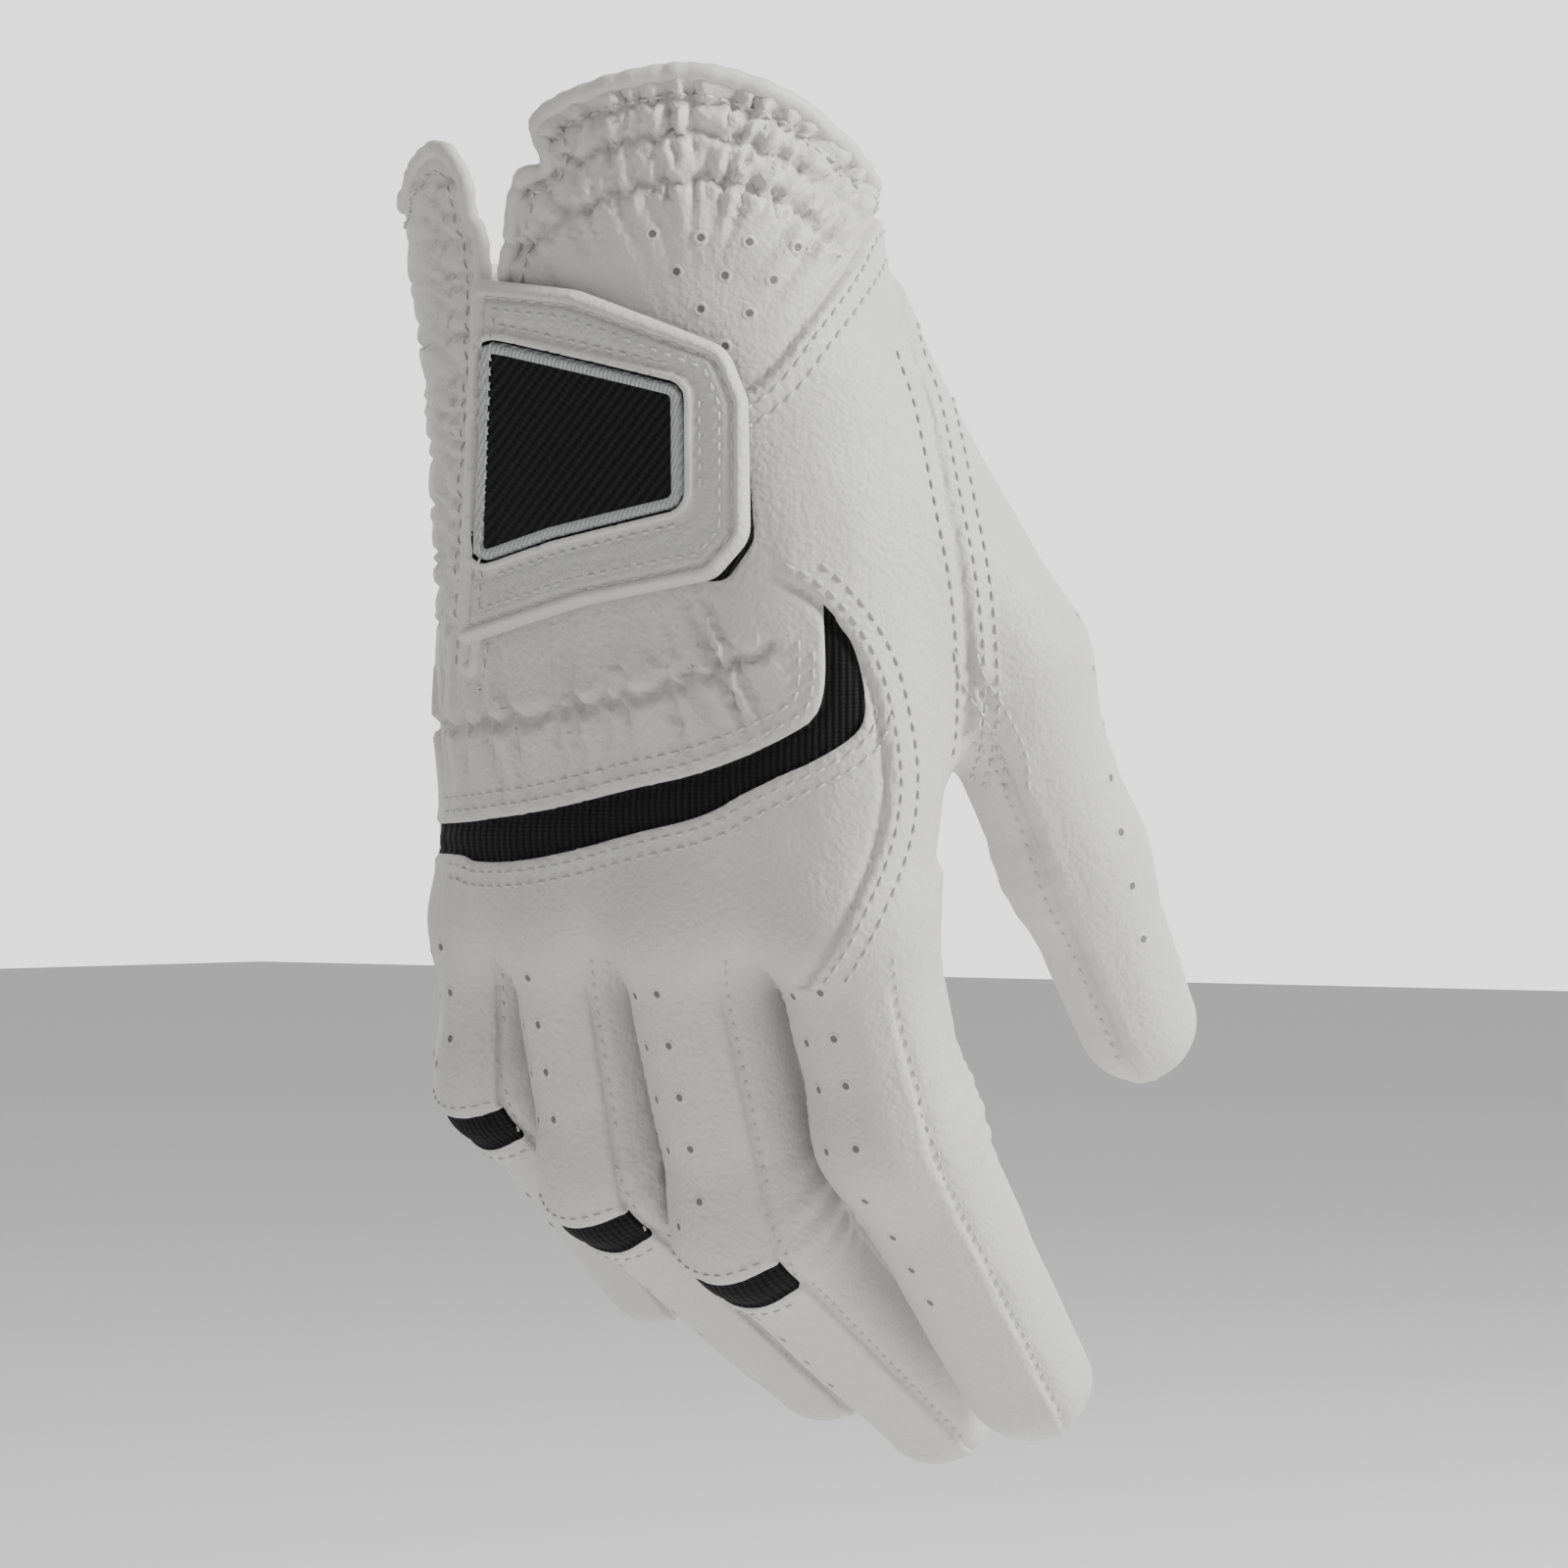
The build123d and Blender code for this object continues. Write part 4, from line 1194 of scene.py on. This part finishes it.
def flat_grid(outline, step, extra):
    """A fine mesh on the pattern plane, cut to an outline and to the zero lines of more fields."""
    low, high = outline.min(0) - 2, outline.max(0) + 2
    nu, nz = ((high - low) / step).astype(int) + 1
    u, z = np.meshgrid(low[0] + step * np.arange(nu), low[1] + step * np.arange(nz), indexing="ij")
    p = np.column_stack([u.ravel(), z.ravel(), np.zeros(u.size)])
    a = (np.arange(nu - 1)[:, None] * nz + np.arange(nz - 1)[None]).ravel()
    t = np.vstack([np.stack([a, a + nz, a + nz + 1], 1), np.stack([a, a + nz + 1, a + 1], 1)])
    made = {"edge": inside_of(outline, p[:, :2])}
    for key, (shape, shift) in extra.items():
        made[key] = inside_of(shape, p[:, :2]) - shift
    for key in list(made):
        p, t = cut(p, t, made, key)
    t = t[made["edge"][t].mean(1) > 0]
    return p[:, :2], t, made


def inset(outline, d):
    """The outline moved inwards, without the points that folded over."""
    ahead, behind = np.roll(outline, -1, 0), np.roll(outline, 1, 0)
    t = ahead - behind
    t /= np.maximum(np.linalg.norm(t, axis=1, keepdims=True), 1e-9)
    centre_of = outline.mean(0)
    n = np.stack([-t[:, 1], t[:, 0]], 1)
    if ((centre_of - outline) * n).sum() < 0:
        n = -n
    moved = outline + n * d
    return moved[np.abs(inside_of(outline, moved) - d) < 0.15]


def dense(outline, step=0.5):
    closed = np.vstack([outline, outline[:1]])
    return resample(closed, step)[:-1]


tab_outline = dense(rounded(TAB, TAB_ROUND))
inlay_outline = dense(rounded(INLAY, INLAY_ROUND))
STEP = 0.4
# Distances out from the twill: the satin border, the dark gap beside it, the raised lip.
SATIN_WIDTH, GAP, LIP, ROLL = 1.5, 1.85, 2.75, 1.7
tab_uv, tab_tris, d = flat_grid(tab_outline, STEP, {
    "roll": (tab_outline, ROLL + 0.25), "satin_in": (inlay_outline, 0.0),
    "satin_out": (inlay_outline, -SATIN_WIDTH), "gap": (inlay_outline, -GAP),
    "lip": (inlay_outline, -LIP)})
d_edge = np.maximum(d["edge"], 0)
d_in = d["satin_in"]


def tab_height(edge, inner, uv):
    """How far the tab's top stands off the hand, from the distances to its edge and its inlay."""
    swell = np.sqrt(np.clip(1 - ((ROLL - np.minimum(edge, ROLL)) / ROLL)**2, 0, 1))
    roll = 2.7 + 1.95 * swell
    flat = 4.05 + 0.35 * np.sin(np.clip((edge - ROLL) / 3.6, 0, 1) * math.pi)
    h = np.where(edge < ROLL, roll, np.maximum(flat, 4.65 - 1.3 * (edge - ROLL)))
    h -= 0.55 * np.exp(-((edge - ROLL - 0.35) / 0.4)**2)
    h -= 0.22 * np.exp(-((edge - 3.7) / 0.5)**2)
    lip = np.clip(1 - ((inner + (LIP + GAP) / 2) / ((LIP - GAP) / 2 + 0.1))**2, 0, 1)
    h = h + 0.5 * np.sqrt(lip) * (inner > -LIP - 0.1) * (inner < -GAP + 0.1) * (edge > ROLL)
    h -= 0.2 * np.exp(-((inner + LIP + 1.0) / 0.5)**2)
    h -= 0.5 * ((inner > -GAP) & (inner < -SATIN_WIDTH + 0.05)) * (edge > ROLL)
    satin = np.clip(1 - ((inner + SATIN_WIDTH / 2) / (SATIN_WIDTH / 2))**2, 0, 1)
    h += 0.34 * np.sqrt(satin) * ((inner <= 0) & (inner >= -SATIN_WIDTH))
    crinkle = np.sin(uv[:, 0] * 1.9 + 1.3 * np.sin(uv[:, 1] * 0.9)) * np.sin(uv[:, 1] * 1.6)
    return h + 0.05 * crinkle * (edge > ROLL)


base, base_n = ground(tab_uv)
top = base + base_n * tab_height(d_edge, d_in, tab_uv)[:, None]
under = 2.7 - 0.7 * (1 - (1 - np.clip(d_edge / 1.3, 0, 1))**2)
bottom = base + base_n * under[:, None]
if (vertex_normals(top, tab_tris)[:200] * base_n[:200]).sum() < 0:
    tab_tris = tab_tris[:, ::-1].copy()
top_n = vertex_normals(top, tab_tris)
mid = {key: value[tab_tris].mean(1) for key, value in d.items()}
in_roll = mid["roll"] < 0
in_twill = (mid["satin_in"] >= 0) & ~in_roll
in_satin = (mid["satin_out"] > 0) & ~in_twill & ~in_roll
in_gap = (mid["gap"] > 0) & (mid["satin_out"] <= 0) & ~in_roll
in_lip = (mid["lip"] > 0) & (mid["gap"] <= 0) & ~in_roll
for name, chosen, look, slot_name, cad_nodes in (
        ("tab_rolled_edge", in_roll, WHITE, "white_leather", ["tab_piping"]),
        ("tab_face", ~(in_satin | in_twill | in_gap | in_roll | in_lip), SUEDE, "white_leather",
         ["tab_cover"]),
        ("tab_lip", in_lip, BOUND, "white_leather", []),
        ("tab_gap", in_gap, STRETCH, "black_stretch", []),
        ("tab_satin_border", in_satin, SATIN, "grey_satin_thread", ["tab_inlay_border"]),
        ("tab_twill_inlay", in_twill, TWILL, "black_twill", ["tab_inlay"])):
    obj = make_piece(name, top, tab_tris[chosen], look, top_n, tab_uv)
    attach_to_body(obj, "tab")
    if cad_nodes:
        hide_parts(*cad_nodes)
obj = make_piece("tab_backing", bottom, tab_tris[:, ::-1], LINED, None, tab_uv)
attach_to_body(obj, "tab")
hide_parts("tab_lining", "tab_pad")

tab_threads = []
for outline, distance, pitch in ((tab_outline, ROLL + 2.0, 2.2), (inlay_outline, -LIP - 1.0, 2.2),
                                 (tab_outline, ROLL + 0.4, 2.6)):
    row = inset(outline, distance)
    row = row[(inside_of(tab_outline, row) > ROLL + 0.2)]
    p, n = ground(row)
    h = tab_height(inside_of(tab_outline, row), inside_of(inlay_outline, row), row)
    for a, b in runs(p + n * h[:, None], n, gap=1.6):
        tab_threads += stitches(a, b, pitch=pitch, radius=0.22)
obj = make_piece("tab_stitching", *join(tab_threads), THREAD)
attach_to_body(obj, "tab")


def patch(name, outline, radii, low, high, look, body, cad_node):
    """A thin tape patch with soft edges."""
    shape = dense(rounded(outline, radii))
    uv, t, made = flat_grid(shape, STEP * 1.5, {})
    p, n = ground(uv, low)
    edge = np.clip(made["edge"] / 0.6, 0, 1)
    middle = (low + high) / 2
    rise = (high - low) / 2 * np.sqrt(1 - (1 - edge)**2)
    ruffle = 0.05 * np.sin(uv[:, 0] * 7.1) * np.sin(uv[:, 1] * 6.3)
    upper_side = p + n * (middle + rise + ruffle * edge)[:, None]
    lower_side = p + n * (middle - rise)[:, None]
    if (vertex_normals(upper_side, t)[:50] * n[:50]).sum() < 0:
        t = t[:, ::-1]
    v = np.vstack([upper_side, lower_side])
    made_obj = make_piece(name, v, np.vstack([t, t[:, ::-1] + len(p)]), look, None,
                          np.vstack([uv, uv]))
    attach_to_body(made_obj, body)
    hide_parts(cad_node)


patch("loop_tape", LOOP, [1, 3, 4, 3, 3, 1], 0.1, 1.25, NAP, "hand", "loop_patch")
patch("hook_tape", HOOK, [3, 3, 3, 3], 1.4, 2.05, HOOKS, "tab", "tab_hook_patch")

# ---- stage, light and camera ---------------------------------------------------------------------
low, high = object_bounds()
floor_mesh = bpy.data.meshes.new("floor")
# The floor lies below the fingertips when the fingers are straight.
FLOOR_DROP = 0.036
span, depth = 3.0, low[2] - FLOOR_DROP
floor_mesh.from_pydata([(-span, -span, depth), (span, -span, depth), (span, span, depth),
                        (-span, span, depth)], [], [(0, 1, 2, 3)])
floor_mat, _, _, _ = new_material("floor", (0.86, 0.86, 0.86), 0.9)
floor_mesh.materials.append(floor_mat)
floor = bpy.data.objects.new("floor", floor_mesh)
bpy.context.collection.objects.link(floor)

# The sky is dim round the glove, and bright only in the part that stands behind it.
DIM, BRIGHT = 0.2, 2.0
world = bpy.data.worlds.new("studio")
world.use_nodes = True
wnodes, wlinks = world.node_tree.nodes, world.node_tree.links
facing = node(wnodes, "ShaderNodeVectorMath", operation="DOT_PRODUCT")
facing.inputs[1].default_value = tuple(-OUTWARD)
sweep = node(wnodes, "ShaderNodeMapRange", interpolation_type="SMOOTHSTEP")
sweep.inputs["From Min"].default_value = 0.35
sweep.inputs["From Max"].default_value = 0.85
sweep.inputs["To Min"].default_value = DIM
sweep.inputs["To Max"].default_value = BRIGHT
wlinks.new(node(wnodes, "ShaderNodeTexCoord").outputs["Generated"], facing.inputs[0])
wlinks.new(facing.outputs["Value"], sweep.inputs["Value"])
wlinks.new(sweep.outputs["Result"], wnodes["Background"].inputs["Strength"])
wnodes["Background"].inputs["Color"].default_value = (1, 1, 1, 1)
bpy.context.scene.world = world
target = Vector(ACROSS * 18.0 * MM) + Vector((0, 0, -0.078))
right = Vector(ACROSS)
out = Vector(OUTWARD)
up = Vector((0, 0, 1))


def softbox(name, direction, distance, size, power):
    light = bpy.data.lights.new(name, "AREA")
    light.shape = "RECTANGLE"
    light.size, light.size_y = size
    light.energy = power
    obj = bpy.data.objects.new(name, light)
    obj.location = target + direction.normalized() * distance
    obj.rotation_euler = (target - obj.location).to_track_quat("-Z", "Y").to_euler()
    bpy.context.collection.objects.link(obj)


softbox("key", right * 1.0 + out * 0.42 + up * 0.7, 0.9, (0.2, 0.3), 13.0)
softbox("fill", right * -0.95 + out * 0.5 + up * 0.2, 1.0, (0.4, 0.9), 1.4)
softbox("top", up * 1.0 + out * 0.3, 0.9, (0.5, 0.3), 2.0)

camera = bpy.data.cameras.new("camera")
camera.sensor_width = 36.0
DISTANCE = 0.95
camera.lens = 36.0 * DISTANCE / 0.2133
camera.clip_start = 0.01
cam = bpy.data.objects.new("camera", camera)
cam.location = target + out * DISTANCE
cam.rotation_euler = (target - cam.location).to_track_quat("-Z", "Y").to_euler()
bpy.context.collection.objects.link(cam)
bpy.context.scene.camera = cam
